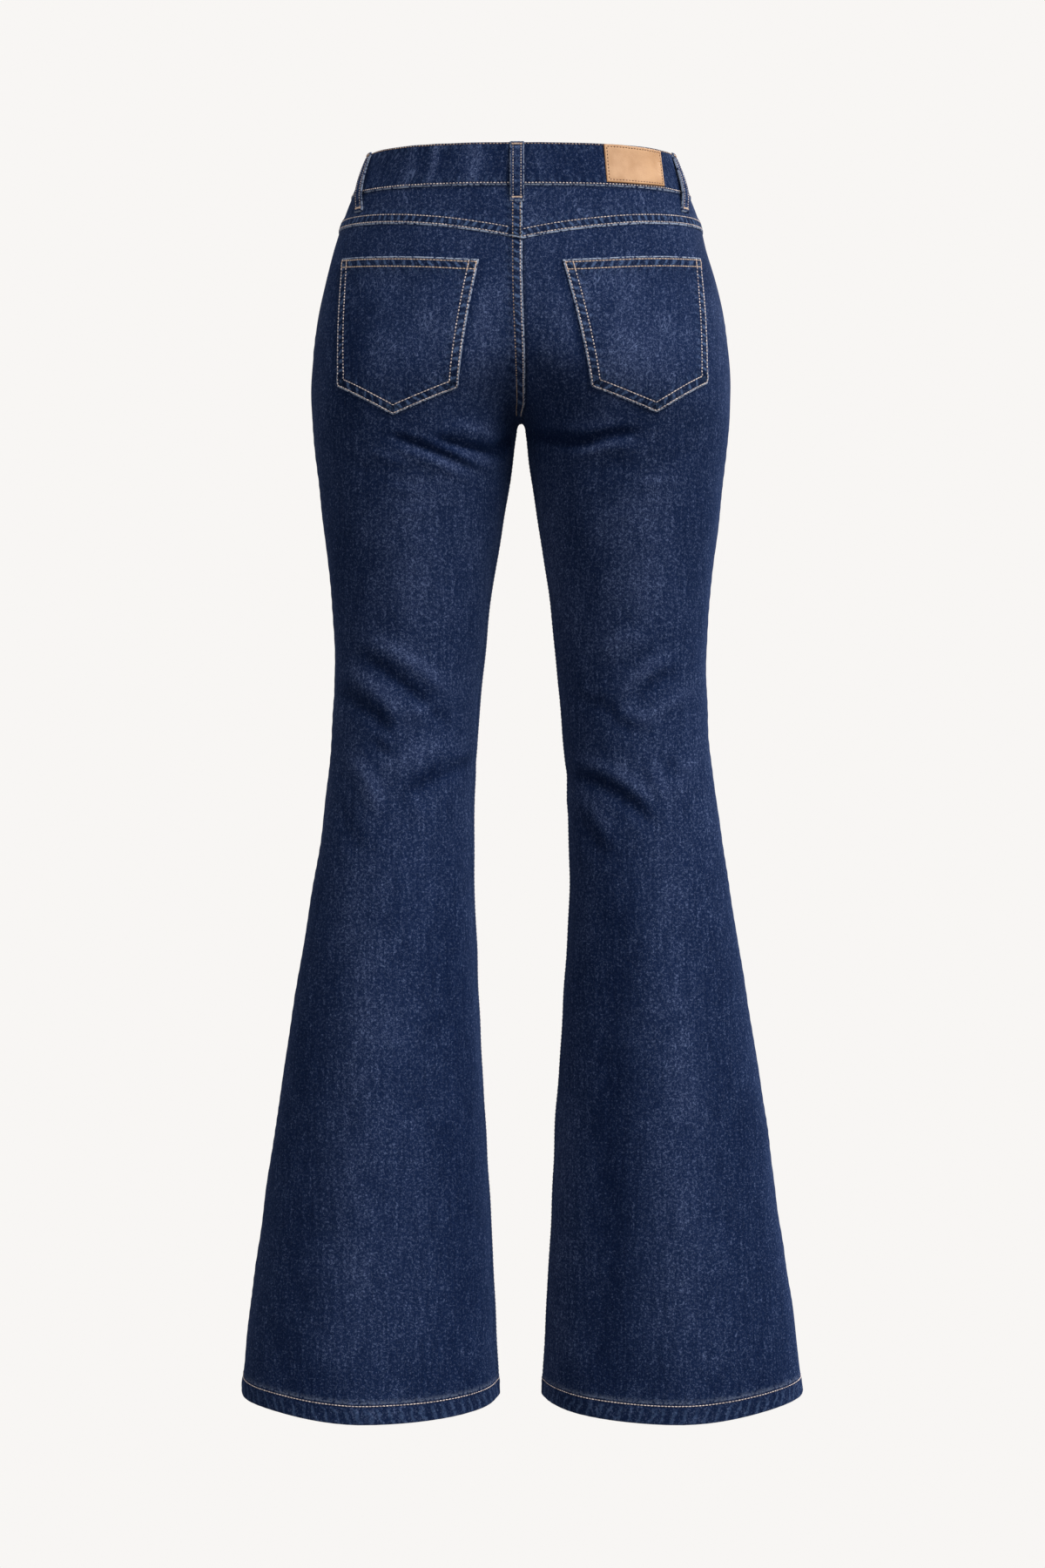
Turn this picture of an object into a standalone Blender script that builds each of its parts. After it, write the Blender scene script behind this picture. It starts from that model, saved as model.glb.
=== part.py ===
"""Flared five-pocket jeans, filled out as they are worn, hollow inside and open at the waist and hems.

Front faces -Y, back faces +Y and the wearer's left is +X. The origin is the middle of the waist, just above the
waistband's top edge. Sizes are in millimetres and become metres where a mesh is laid out.
"""
import math

import bmesh
import bpy
import numpy as np
from mathutils import Vector

MM = 0.001
SEAM_GAP = 0.3           # between the edges of two pieces, and between a piece and what it lies on
PANEL_WALL = 1.3         # denim
BAND_WALL = 2.6          # two layers of denim and a stiffener
BAND_LIFT = 0.8          # how far the waistband's face stands proud of the panels
BAND_HEIGHT = 37.6
POCKET_WALL = 1.2
LOOP_WALL = 1.6
PATCH_WALL = 1.3
FACING_WALL = 1.1
ZIP_WALL = 1.0
SHIELD_WALL = 1.2

# Cross-sections of the body and one leg, from waist to hem. "outer" is the half width over the side seams. "inner" is
# how near the form comes to the middle plane: negative where both sides are one tube, above zero where a leg stands
# alone. "back", "front" and "middle" are depths along Y, and "round" is 2 for an ellipse and more for a squarer one.
SECTION_COLUMNS = ("height", "outer", "inner", "back", "front", "middle", "round")
SECTIONS = np.array((
    (10, 128.5, -128.5, 95.0, -97.0, 0, 2.10),
    (0, 131.5, -131.5, 97.0, -100.0, 0, 2.10),
    (-20, 138.0, -138.0, 100.5, -102.5, 0, 2.10),
    (-40, 147.0, -147.0, 104.5, -105.0, 0, 2.15),
    (-60, 154.5, -154.5, 109.5, -107.0, 0, 2.15),
    (-80, 160.0, -159.0, 114.5, -109.0, 1, 2.20),
    (-120, 171.0, -155.0, 122.5, -110.0, 2, 2.25),
    (-150, 176.5, -115.0, 126.5, -108.0, 3, 2.30),
    (-180, 180.0, -63.0, 127.5, -105.0, 4, 2.30),
    (-205, 181.0, -17.0, 124.5, -101.0, 5, 2.30),
    (-220, 180.8, 3.0, 119.5, -98.0, 5, 2.30),
    (-233, 180.4, 10.0, 114.5, -95.5, 5, 2.25),
    (-246, 179.4, 11.2, 109.5, -94.0, 5, 2.20),
    (-265, 177.4, 12.7, 103.0, -92.0, 4, 2.15),
    (-288, 174.4, 15.2, 95.5, -90.5, 2, 2.12),
    (-319, 171.0, 19.2, 87.0, -88.5, 0, 2.10),
    (-379, 164.7, 27.4, 72.5, -84.0, -5, 2.05),
    (-439, 161.3, 33.4, 61.5, -79.0, -8, 2.00),
    (-500, 163.8, 38.3, 56.0, -74.5, -9, 2.00),
    (-560, 169.9, 42.4, 57.0, -70.5, -7, 2.00),
    (-621, 178.2, 43.2, 61.5, -68.5, -4, 2.00),
    (-696, 189.9, 40.0, 68.0, -69.0, -1, 2.00),
    (-772, 201.6, 36.0, 73.5, -71.5, 0, 2.05),
    (-847, 212.9, 31.7, 77.5, -75.0, 0, 2.05),
    (-923, 223.8, 28.1, 80.5, -79.0, 0, 2.10),
    (-998, 234.8, 24.7, 83.0, -82.0, 0, 2.10),
    (-1072.5, 243.4, 21.6, 85.0, -84.5, 0, 2.10),
    (-1110, 247.8, 20.2, 86.5, -86.0, 0, 2.10),
), dtype=float)
CROTCH_HEIGHT = -233.0
HEM_HEIGHT = -1072.5
CLEFT = 10.0             # softening of the form across the middle plane
SIDE_SEAM_FORWARD = 7.0  # the side seam lies this far in front of the widest line

# Edges that run round the body. A drop is measured below the side seams.
WAIST_SIDE_HEIGHT = -2.6
WAIST_DROP_BACK = 2.9
WAIST_DROP_FRONT = 25.0
YOKE_SIDE_HEIGHT = -68.0
YOKE_DROP = 21.0
YOKE_CURVE = 2.4         # how late the yoke seam turns down towards the centre back
HEM_DROP_BACK = 13.5
HEM_RISE_FRONT = 4.0
HEM_RISE_SIDE = 5.0
HEM_SIDE_START, HEM_SIDE_END = 0.5, 0.8  # share of a face, from the inside leg out, where the hem rises to the side
HEM_BAND = 14.0
HEM_WALL = 2.4
HEM_LIFT = 0.5

# Folds in the cloth, each along a line seen from behind (face 1) or from in front (face -1): a ridge has a lift above
# zero and a trough below it. "bow" bends the line sideways at its middle.
FOLD_COLUMNS = ("face", "x_from", "z_from", "x_to", "z_to", "bow", "lift", "width")
FOLDS = np.array((
    # under the seat, left and right
    (1, 2, -248, 42, -253, 0, -3.5, 6),
    (1, 80, -251, 20, -266, -3, -3.0, 6),
    (1, 60, -243, 16, -256, -2, 1.6, 7),
    (1, 100, -252, 56, -272, -3, -1.8, 7),
    (1, 90, -264, 42, -281, -3, -1.0, 7),
    (1, -2, -251, -48, -255, 1, -4.0, 7),
    (1, -34, -268, -72, -257, -2, -2.0, 7),
    (1, -60, -278, -94, -266, -2, -1.2, 8),
    # behind the left knee
    (1, 126, -421, 64, -464, -4, 2.6, 9),
    (1, 138, -432, 68, -482, -5, -3.4, 8),
    (1, 150, -447, 100, -487, -4, 2.2, 8),
    (1, 158, -462, 106, -503, -4, -2.8, 8),
    (1, 144, -520, 118, -566, -3, 2.0, 9),
    (1, 46, -525, 104, -558, 5, -2.4, 9),
    (1, 60, -508, 112, -538, 4, 1.4, 10),
    # behind the right knee
    (1, -104, -414, -74, -440, 3, 1.4, 9),
    (1, -126, -434, -82, -478, 4, 2.4, 9),
    (1, -120, -493, -80, -483, 2, 1.8, 8),
    (1, -50, -464, -96, -500, -4, -3.0, 8),
    (1, -52, -512, -114, -551, -5, 3.2, 9),
    (1, -40, -521, -116, -568, -6, -4.2, 9),
    (1, -42, -540, -78, -586, -3, 2.2, 10),
    # long soft falls down the flare, behind
    (1, 118, -640, 158, -1040, 0, 2.0, 26),
    (1, 82, -660, 96, -1060, 0, -1.8, 22),
    (1, 152, -700, 204, -1040, 0, -1.6, 22),
    (1, -112, -640, -140, -1050, 0, 2.0, 26),
    (1, -78, -680, -76, -1060, 0, -1.8, 22),
    (1, -150, -700, -200, -1040, 0, -1.4, 24),
    # across the front of the hips and crotch
    (-1, 8, -214, 70, -190, -4, -2.4, 8),
    (-1, 14, -228, 84, -214, -4, 1.6, 9),
    (-1, -8, -212, -64, -186, 4, -2.6, 8),
    (-1, -14, -226, -90, -210, 4, 1.6, 9),
    (-1, 16, -250, 78, -262, 3, -1.8, 9),
    (-1, -18, -246, -70, -260, -3, -1.6, 9),
    # over the front of the knees
    (-1, 52, -486, 110, -470, 3, -1.6, 11),
    (-1, 148, -548, 96, -566, -3, -1.8, 11),
    (-1, -48, -500, -100, -478, -3, -1.8, 11),
    (-1, -152, -540, -92, -560, 3, -1.6, 11),
    # long soft falls down the flare, in front
    (-1, 126, -620, 150, -1040, 0, 1.8, 28),
    (-1, 88, -700, 92, -1050, 0, -1.4, 22),
    (-1, -124, -600, -152, -1040, 0, 1.8, 28),
    (-1, -86, -680, -94, -1050, 0, -1.4, 22),
), dtype=float)
FOLD_TURN = 7.0          # over this depth a fold fades out between the back and the front
FOLD_END = 1.2           # how sharply a fold fades out at its two ends

# Rows of every leg panel, as runs of levels. "crowd" is above 1 where levels stand closer at the run's lower end and
# below 1 where they stand closer at its upper end.
RUN_COLUMNS = ("upper", "lower", "steps", "crowd")
PANEL_TOP_LEVEL = -72.0
TOP_SHAPE_ENDS = -200.0  # above this the rows follow the shaped top edge
HEM_SHAPE_STARTS = -960.0
LEVEL_RUNS = (
    (PANEL_TOP_LEVEL, TOP_SHAPE_ENDS, 8, 1.0),
    (TOP_SHAPE_ENDS, CROTCH_HEIGHT, 5, 2.0),
    (CROTCH_HEIGHT, -262, 5, 0.5),
    (-262, -400, 7, 1.0),
    (-400, -590, 13, 1.0),
    (-590, HEM_HEIGHT + HEM_BAND + 2, 9, 1.0),
    (HEM_HEIGHT + HEM_BAND + 2, HEM_HEIGHT + HEM_BAND - 2, 1, 1.0),
    (HEM_HEIGHT + HEM_BAND - 2, HEM_HEIGHT, 1, 1.0),
)
BACK_PANEL_COLUMNS = 13
FRONT_PANEL_COLUMNS = 12
COLUMN_CROWDING = 0.75   # how close back columns stand at the inner seam: 1 is even
YOKE_ROWS = 3

# Front pocket opening: a quarter ellipse from the waistband down to the side seam, with a facing behind it.
FRONT_POCKET_FROM_MIDDLE = 95.0
FRONT_POCKET_DEPTH = 76.0
POCKET_COLUMN = 5 / 12   # the share of the front panel's columns that lie between the middle and the opening
FACING_MARGIN = 15.0
FACING_GRID = 8
FACING_SINKS = (0.16, 0.5)  # the share of the way in from the opening's edge where the facing rises to the surface
FACING_GAPE = 0.9        # how far the sunk facing lies further in than its seam gap

# Back pocket corners as X and height seen from behind: inner top, outer top, outer low, tip and inner low.
BACK_POCKETS = {
    "left": ((35.0, -106.8), (151.1, -96.8), (153.5, -211.0), (107.1, -235.8), (53.1, -213.3)),
    "right": ((-34.6, -107.2), (-151.6, -96.2), (-156.0, -208.0), (-113.2, -233.8), (-59.1, -212.6)),
}
PATCH_CORNERS = ((-69.1, -5.6), (-117.6, -5.6), (-120.9, -37.7), (-71.9, -38.6))

# Belt loops: whether on the front, how far round from the middle seam the top and the foot are, and the length.
BELT_LOOPS = {
    "belt_loop_centre_back": (False, 3.4, 3.4, 51.5),
    "belt_loop_side_left": (False, 159.0, 155.5, 54.5),
    "belt_loop_side_right": (False, -162.0, -158.5, 54.5),
    "belt_loop_front_left": (True, 78.0, 80.0, 53.0),
    "belt_loop_front_right": (True, -78.0, -80.0, 53.0),
}
LOOP_WIDTH = 12.0
LOOP_STAND_OFF = 2.3
LOOP_OFF_BAND = (0.72, 0.90)  # the share of its length over which a loop comes down from the band to the panel
LOOP_ARCH = (0.06, 0.92)      # the share of its length that stands free between its two stitched ends
LOOP_ARCH_FULLNESS = 0.8
LOOP_GRID = (2, 10)

BAND_GRID = (66, 3)
BAND_OVERLAP = 8.0       # the left end reaches past the centre front
BAND_UNDERLAP = 30.0     # the right end reaches under the left one
BAND_STEP_IN = 28.0      # length over which the under end steps inwards
BAND_STEP_CLEAR = 3.0    # the step is over this far before the left end

FLY_DEPTH = 92.0
ZIP_HALF_WIDTH = 12.0
ZIP_SHORTER = 6.0        # the tape ends this far above the fly's foot
SHIELD_EDGES = (-5.0, 38.0)
SHIELD_ROUNDING = 26.0
SHIELD_CURVE = 2.5
FLY_ROWS = 8

# Waist button, turned round its own axis: radius and rise of each ring of its profile.
BUTTON_FROM_MIDDLE = 5.0
BUTTON_SIDES = 16
BUTTON_PROFILE = (
    # shank
    (0.0, 0.0), (3.0, 0.0), (3.0, 1.0),
    # underside and rolled rim
    (7.5, 1.0), (8.5, 1.8), (8.3, 2.9), (7.3, 3.3),
    # dished cap
    (6.1, 2.7), (3.0, 3.1), (0.0, 3.2),
)

# Each finish is a colour, a roughness and a metallic value.
FINISHES = {
    "denim": ((0.020, 0.031, 0.072), 0.85, 0.0),
    "leather": ((0.62, 0.34, 0.16), 0.6, 0.0),
    "brass": ((0.55, 0.36, 0.19), 0.35, 1.0),
    "zip_tape": ((0.012, 0.018, 0.04), 0.8, 0.0),
}
SHARP_ANGLE = math.radians(40)


def smooth_step(value, start, end):
    """0 before start, 1 after end, and a soft rise between."""
    share = np.clip((value - start) / (end - start), 0.0, 1.0)
    return share * share * (3.0 - 2.0 * share)


def table_curve(heights, values, wanted):
    """A curve through a table's rows that never swings past them: cubic pieces with limited slopes."""
    order = np.argsort(heights)
    x, y = heights[order], values[order]
    step = np.diff(x)
    slope = np.diff(y) / step
    bend = np.zeros_like(y)
    same = slope[1:] * slope[:-1] > 0
    near, far = 2 * step[1:] + step[:-1], step[1:] + 2 * step[:-1]
    product = np.where(same, slope[1:] * slope[:-1], 1.0)
    mean = (near + far) * product / np.where(same, near * slope[1:] + far * slope[:-1], 1.0)
    bend[1:-1] = np.where(same, mean, 0.0)
    bend[0], bend[-1] = slope[0], slope[-1]
    row = np.clip(np.searchsorted(x, wanted) - 1, 0, len(step) - 1)
    t = (wanted - x[row]) / step[row]
    rise = (1 + 2 * t) * (1 - t) ** 2 * y[row] + t * t * (3 - 2 * t) * y[row + 1]
    return rise + step[row] * (t * (1 - t) ** 2 * bend[row] - t * t * (1 - t) * bend[row + 1])


FINE_HEIGHTS = np.arange(SECTIONS[-1, 0], SECTIONS[0, 0] + 1.0)
EASE = {"inner": 3}      # how many millimetres a column is averaged over, either way, so that no row shows
EASE_ELSE = 9


def fine_columns():
    """Every column of the sections, a millimetre apart and eased."""
    columns = {}
    for place, name in enumerate(SECTION_COLUMNS[1:], start=1):
        values = table_curve(SECTIONS[:, 0], SECTIONS[:, place], FINE_HEIGHTS)
        reach = EASE.get(name, EASE_ELSE)
        kernel = np.ones(2 * reach + 1) / (2 * reach + 1)
        ends = 2.0 * values[[0, -1]]
        padded = np.concatenate((ends[0] - values[reach:0:-1], values, ends[1] - values[-2:-reach - 2:-1]))
        columns[name] = np.convolve(padded, kernel, mode="valid")
    return columns


COLUMNS = fine_columns()


def section_at(height):
    """Middle, half width, depths and roundness of the section at each height, in the softened X."""
    read = {name: np.interp(height, FINE_HEIGHTS, values) for name, values in COLUMNS.items()}
    outer = np.sqrt(read["outer"] ** 2 + CLEFT ** 2)
    centre, half = (outer + read["inner"]) / 2, (outer - read["inner"]) / 2
    return centre, half, read["back"], read["front"], read["middle"], read["round"]


def section_point(height, angle):
    """X and Y on the left half's section at an angle: 0 at the widest line, 90 degrees at the back."""
    centre, half, back, front, middle, power = section_at(height)
    cosine, sine = np.cos(angle), np.sin(angle)
    reach = (np.abs(cosine) ** power + np.abs(sine) ** power) ** (-1.0 / power)
    depth = np.where(sine > 0, back - middle, middle - front)
    soft_x = centre + half * reach * cosine
    return np.sqrt(np.maximum(soft_x ** 2 - CLEFT ** 2, 0.0)), middle + depth * reach * sine


def end_angles(front, height):
    """Angles of the side seam, and of the centre seam or the inside leg seam, on one face."""
    centre, half, back, front_depth, middle, power = section_at(height)
    inward = np.clip((centre - CLEFT) / half, -1.0, 1.0)
    across = np.sign(inward) * np.abs(inward) ** power
    sine = np.maximum(1.0 - np.abs(across), 0.0) ** (1.0 / power)
    inside = np.arctan2(sine, -inward)
    side = -np.arcsin(np.clip(SIDE_SEAM_FORWARD / (middle - front_depth), 0, 1))
    return side, np.where(front, -inside, inside)


SECTION_STEPS = 120


def measure_sections(front, height):
    """Angles along one face of each section, from the centre seam out, and the length of cloth up to each."""
    side, inside = end_angles(front, height)
    share = np.linspace(0.0, 1.0, SECTION_STEPS + 1) ** 2
    angles = inside[:, None] + (side - inside)[:, None] * share[None, :]
    x, y = section_point(height[:, None], angles)
    lengths = np.zeros_like(x)
    lengths[:, 1:] = np.cumsum(np.hypot(np.diff(x, axis=1), np.diff(y, axis=1)), axis=1)
    return angles, lengths


def face_length(front, height):
    """Length of cloth on one face of a section, from the centre or inside leg seam to the side seam."""
    height = np.atleast_1d(np.asarray(height, dtype=float))
    return measure_sections(np.broadcast_to(front, height.shape), height)[1][:, -1]


def form_value(x, y, z):
    """1 on the form, less inside it and more outside."""
    centre, half, back, front, middle, power = section_at(z)
    depth = np.where(y > middle, back - middle, middle - front)
    soft_x = np.sqrt(x * x + CLEFT ** 2)
    return np.abs((soft_x - centre) / half) ** power + np.abs((y - middle) / depth) ** power


def outward(x, y, z):
    """Unit directions out of the form."""
    centre, half, back, front, middle, power = section_at(z)
    depth = np.where(y > middle, back - middle, middle - front)
    soft_x = np.sqrt(x * x + CLEFT ** 2)
    u, v = (soft_x - centre) / half, (y - middle) / depth
    gradient = np.stack((
        power / half * np.sign(u) * np.abs(u) ** (power - 1) * x / soft_x,
        power / depth * np.sign(v) * np.abs(v) ** (power - 1),
        (form_value(x, y, z + 1.0) - form_value(x, y, z - 1.0)) / 2.0,
    ), axis=-1)
    return gradient / np.linalg.norm(gradient, axis=-1, keepdims=True)


def fold_lift(x, y, z):
    """How far the folds raise or sink the cloth at each point."""
    middle = section_at(z)[4]
    total = np.zeros_like(x)
    for face, x_from, z_from, x_to, z_to, bow, lift, width in FOLDS:
        run_x, run_z = x_to - x_from, z_to - z_from
        length = math.hypot(run_x, run_z)
        along = ((x - x_from) * run_x + (z - z_from) * run_z) / length ** 2
        aside = ((z - z_from) * run_x - (x - x_from) * run_z) / length - 4 * bow * along * (1 - along)
        fade = np.exp(-FOLD_END * (2 * np.clip(along, -2, 3) - 1) ** 4)
        facing = 1.0 / (1.0 + np.exp(-face * (y - middle) / FOLD_TURN))
        total += lift * fade * facing * np.exp(-(aside / width) ** 2)
    return total


def on_cloth(front, along, height, lift):
    """Points in metres: a length of cloth from the centre seam (negative to the wearer's right), a height, a lift."""
    along, height, lift = np.broadcast_arrays(*(np.asarray(v, dtype=float) for v in (along, height, lift)))
    side = np.where(along < 0, -1.0, 1.0)
    angles, lengths = measure_sections(np.broadcast_to(front, along.shape), height)
    angle = np.array([np.interp(a, l, g) for a, l, g in zip(np.abs(along), lengths, angles)])
    x, y = section_point(height, angle)
    rise = lift + fold_lift(side * x, y, height)
    points = np.stack((x, y, height), axis=-1) + outward(x, y, height) * rise[:, None]
    points[:, 0] *= side
    return points * MM


FRONT_WAIST_LENGTH = float(face_length(True, -40.0)[0])
FRONT_TOP_LENGTH = float(face_length(True, -70.0)[0])
BACK_WAIST_LENGTH = float(face_length(False, -25.0)[0])


def waist_edge(front, share):
    """Height of the waistband's top edge, at a share of the way from the centre seam to the side seam."""
    drop = np.where(front, WAIST_DROP_FRONT, WAIST_DROP_BACK)
    return WAIST_SIDE_HEIGHT - drop * np.cos(math.pi / 2 * share) ** 2


def band_foot(front, share):
    return waist_edge(front, share) - BAND_HEIGHT


def yoke_seam(share):
    return YOKE_SIDE_HEIGHT - YOKE_DROP * (1 - share) ** YOKE_CURVE


def make_material(name, finish):
    colour, roughness, metallic = FINISHES[finish]
    material = bpy.data.materials.new(name)
    material.use_nodes = True
    shader = material.node_tree.nodes["Principled BSDF"]
    shader.inputs["Base Color"].default_value = (*colour, 1.0)
    shader.inputs["Roughness"].default_value = roughness
    shader.inputs["Metallic"].default_value = metallic
    material.diffuse_color = (*colour, 1.0)
    return material


def add_object(name, build, finish):
    """The piece as an object whose faces all point out of its closed body."""
    bmesh.ops.recalc_face_normals(build, faces=build.faces[:])
    if build.calc_volume(signed=True) < 0:
        bmesh.ops.reverse_faces(build, faces=build.faces[:])
    mesh = bpy.data.meshes.new(name)
    build.to_mesh(mesh)
    build.free()
    mesh.shade_smooth()
    mesh.set_sharp_from_angle(angle=SHARP_ANGLE)
    mesh.materials.append(make_material(name, finish))
    made = bpy.data.objects.new(name, mesh)
    JEANS.objects.link(made)
    return made


def double_up(build):
    """Doubles the open skin into a closed body, and gives the new side's vertices, to be moved by the caller."""
    doubled = bmesh.ops.extrude_face_region(build, geom=build.faces[:], use_keep_orig=True)
    return {item for item in doubled["geom"] if isinstance(item, bmesh.types.BMVert)}


def cloth_wall(name, columns, rows, lay, finish):
    """A grid laid on the form as the outer side, and the same grid set in by the wall as the inner side.

    lay(across, down) gives the face, the length of cloth from the centre seam, the height, the lift of the outer side
    and the wall's thickness, for grid places from 0 to 1.
    """
    build = bmesh.new()
    bmesh.ops.create_grid(build, x_segments=columns, y_segments=rows, size=0.5)
    bmesh.ops.triangulate(build, faces=build.faces[:], quad_method="FIXED")
    inner = double_up(build)
    places = np.array([(v.co.x + 0.5, 0.5 - v.co.y) for v in build.verts])
    front, along, height, lift, wall = lay(places[:, 0], places[:, 1])
    lift = lift - np.where([v in inner for v in build.verts], wall, 0.0)
    for vertex, place in zip(build.verts, on_cloth(front, along, height, lift)):
        vertex.co = place
    return add_object(name, build, finish)


def outward_in_metres(places):
    """Directions out of the form at places in metres, on either side of the middle plane."""
    x, y, z = np.array([tuple(place) for place in places]).T / MM
    out = outward(np.abs(x), y, z)
    out[:, 0] *= np.where(x < 0, -1.0, 1.0)
    return out


def faces_behind(build):
    """The faces on a wall's outer side, and on the back of the body."""
    middles = [face.calc_center_median() for face in build.faces]
    return [face for face, middle, out in zip(build.faces, middles, outward_in_metres(middles))
            if middle.y > 0 and face.normal.dot(Vector(out)) > 0.6]


def sewn_on(name, carrier, corners, wall, finish):
    """A piece that lies on the back of another: the carrier's outer triangles, cut to an outline and moved out.

    The corners are X and height seen from behind, and each cut runs straight in along Y.
    """
    build = bmesh.new()
    build.from_mesh(carrier.data)
    kept = set(faces_behind(build))
    bmesh.ops.delete(build, geom=[face for face in build.faces if face not in kept], context="FACES")
    places = [Vector((x, 0.0, height)) * MM for x, height in corners]
    middle = sum(places, Vector()) / len(places)
    for start, end in zip(places, places[1:] + places[:1]):
        aside = (end - start).cross(Vector((0, 1, 0))).normalized()
        if aside.dot(middle - start) > 0:
            aside.negate()
        bmesh.ops.bisect_plane(build, geom=build.verts[:] + build.edges[:] + build.faces[:], dist=0.02 * MM,
                               plane_co=start, plane_no=aside, clear_outer=True)
    bmesh.ops.dissolve_degenerate(build, edges=build.edges[:], dist=0.05 * MM)
    outer = double_up(build)
    for vertex, out in zip(build.verts, outward_in_metres([v.co for v in build.verts])):
        vertex.co += Vector(out) * (SEAM_GAP + (wall if vertex in outer else 0.0)) * MM
    return add_object(name, build, finish)


def panel_levels():
    levels = [PANEL_TOP_LEVEL]
    for upper, lower, steps, crowd in LEVEL_RUNS:
        share = np.arange(1, steps + 1) / steps
        eased = 1 - (1 - share) ** crowd if crowd > 1 else share ** (1 / crowd)
        levels.extend(upper + (lower - upper) * eased)
    return np.array(levels)


LEVELS = panel_levels()
PANEL_ROWS = len(LEVELS) - 1


def level_at(down):
    """The level at a place on the panel's grid, and how far the top edge's shape still counts there."""
    level = np.interp(down * PANEL_ROWS, np.arange(len(LEVELS)), LEVELS)
    return level, np.clip((level - TOP_SHAPE_ENDS) / (PANEL_TOP_LEVEL - TOP_SHAPE_ENDS), 0, 1)


def hem_shape(front, share, level):
    """How far a level is moved near the hem, which hangs lowest behind and highest at the side seam."""
    fade = np.clip((HEM_SHAPE_STARTS - level) / (HEM_SHAPE_STARTS - HEM_HEIGHT), 0, 1)
    reach = np.where(front, HEM_RISE_FRONT, -HEM_DROP_BACK)
    side_rise = HEM_RISE_SIDE * smooth_step(share, HEM_SIDE_START, HEM_SIDE_END)
    return (reach * np.sin(math.pi * share) + side_rise) * fade


def hem_profile(level):
    """Lift and wall of a leg panel: one layer, or the turned-up hem at the foot."""
    turned = smooth_step(HEM_HEIGHT + HEM_BAND - level, -1.5, 1.5)
    return HEM_LIFT * turned, PANEL_WALL + (HEM_WALL - PANEL_WALL) * turned


def crowd_inwards(across):
    """Columns stand closer together near the centre and inside leg seams."""
    return across * (COLUMN_CROWDING + (1 - COLUMN_CROWDING) * across)


def lay_back_panel(side):
    def lay(across, down):
        across = crowd_inwards(across)
        level, top_shape = level_at(down)
        top = yoke_seam(across) - SEAM_GAP / 2
        height = level + (top - PANEL_TOP_LEVEL) * top_shape + hem_shape(False, across, level)
        along = SEAM_GAP / 2 + across * (face_length(False, height) - SEAM_GAP)
        return False, side * along, height, *hem_profile(level)
    return lay


def front_top_edge(across):
    """The front panel's top edge: under the waistband, then down round the pocket opening to the side seam."""
    opening = FRONT_POCKET_FROM_MIDDLE / FRONT_TOP_LENGTH
    turn = np.clip((across - POCKET_COLUMN) / (1 - POCKET_COLUMN), 0, 1) * math.pi / 2
    beside_band = np.clip(across / POCKET_COLUMN, 0, 1) * opening
    share = beside_band + (1 - opening) * (1 - np.cos(turn))
    foot = band_foot(True, np.minimum(share, opening)) - SEAM_GAP / 2
    return share, foot - FRONT_POCKET_DEPTH * np.sin(turn)


def lay_front_panel(side):
    def lay(across, down):
        level, top_shape = level_at(down)
        top_share, top = front_top_edge(across)
        height = level + (top - PANEL_TOP_LEVEL) * top_shape + hem_shape(True, across, level)
        share = across + (top_share - across) * top_shape
        along = SEAM_GAP / 2 + share * (face_length(True, height) - SEAM_GAP)
        return True, side * along, height, *hem_profile(level)
    return lay


def lay_yoke(side):
    def lay(across, down):
        across = crowd_inwards(across)
        top = band_foot(False, across) - SEAM_GAP / 2
        foot = yoke_seam(across) + SEAM_GAP / 2
        height = top + (foot - top) * down
        along = SEAM_GAP / 2 + across * (face_length(False, height) - SEAM_GAP)
        return False, side * along, height, 0.0, PANEL_WALL
    return lay


def lay_facing(side):
    """The pocket facing fills the opening level with its neighbours and sinks under the front panel's edge."""
    opening = FRONT_POCKET_FROM_MIDDLE / FRONT_TOP_LENGTH
    share_from = (FRONT_POCKET_FROM_MIDDLE - FACING_MARGIN) / FRONT_TOP_LENGTH
    foot = float(band_foot(True, 1.0)) - FRONT_POCKET_DEPTH - 2 * FACING_MARGIN

    def lay(across, down):
        share = share_from + (1 - share_from) * across
        top = band_foot(True, share) - SEAM_GAP / 2
        height = top + (foot - top) * down
        length = face_length(True, height)
        along = share * length - SEAM_GAP / 2 * across
        out = (length - along) / (length - FRONT_POCKET_FROM_MIDDLE)
        below = (height - band_foot(True, opening)) / FRONT_POCKET_DEPTH
        sunk = 1 - smooth_step(1 - np.hypot(out, below), *FACING_SINKS)
        return True, side * along, height, -(PANEL_WALL + SEAM_GAP + FACING_GAPE) * sunk, FACING_WALL
    return lay


def lay_band(across, down):
    """The waistband, from the end that laps over at the centre front, round the back to the end under it."""
    start, end = 2 + BAND_OVERLAP / FRONT_WAIST_LENGTH, -2 - BAND_UNDERLAP / FRONT_WAIST_LENGTH
    around = start + (end - start) * across
    front = np.abs(around) > 1
    past = 2 - np.abs(around)
    share = np.where(front, np.abs(past), np.abs(around))
    height = waist_edge(front, share) - (BAND_HEIGHT - SEAM_GAP / 2) * down
    side = np.sign(around) * np.where(front, np.sign(past), 1.0)
    length = np.where(front, face_length(True, height), face_length(False, height))
    past_middle = -(around + 2) * FRONT_WAIST_LENGTH
    under = smooth_step(past_middle, -BAND_OVERLAP - BAND_STEP_IN, -BAND_OVERLAP - BAND_STEP_CLEAR)
    lift = BAND_LIFT - (BAND_WALL + SEAM_GAP) * under
    return front, side * share * length, height, lift, BAND_WALL


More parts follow.
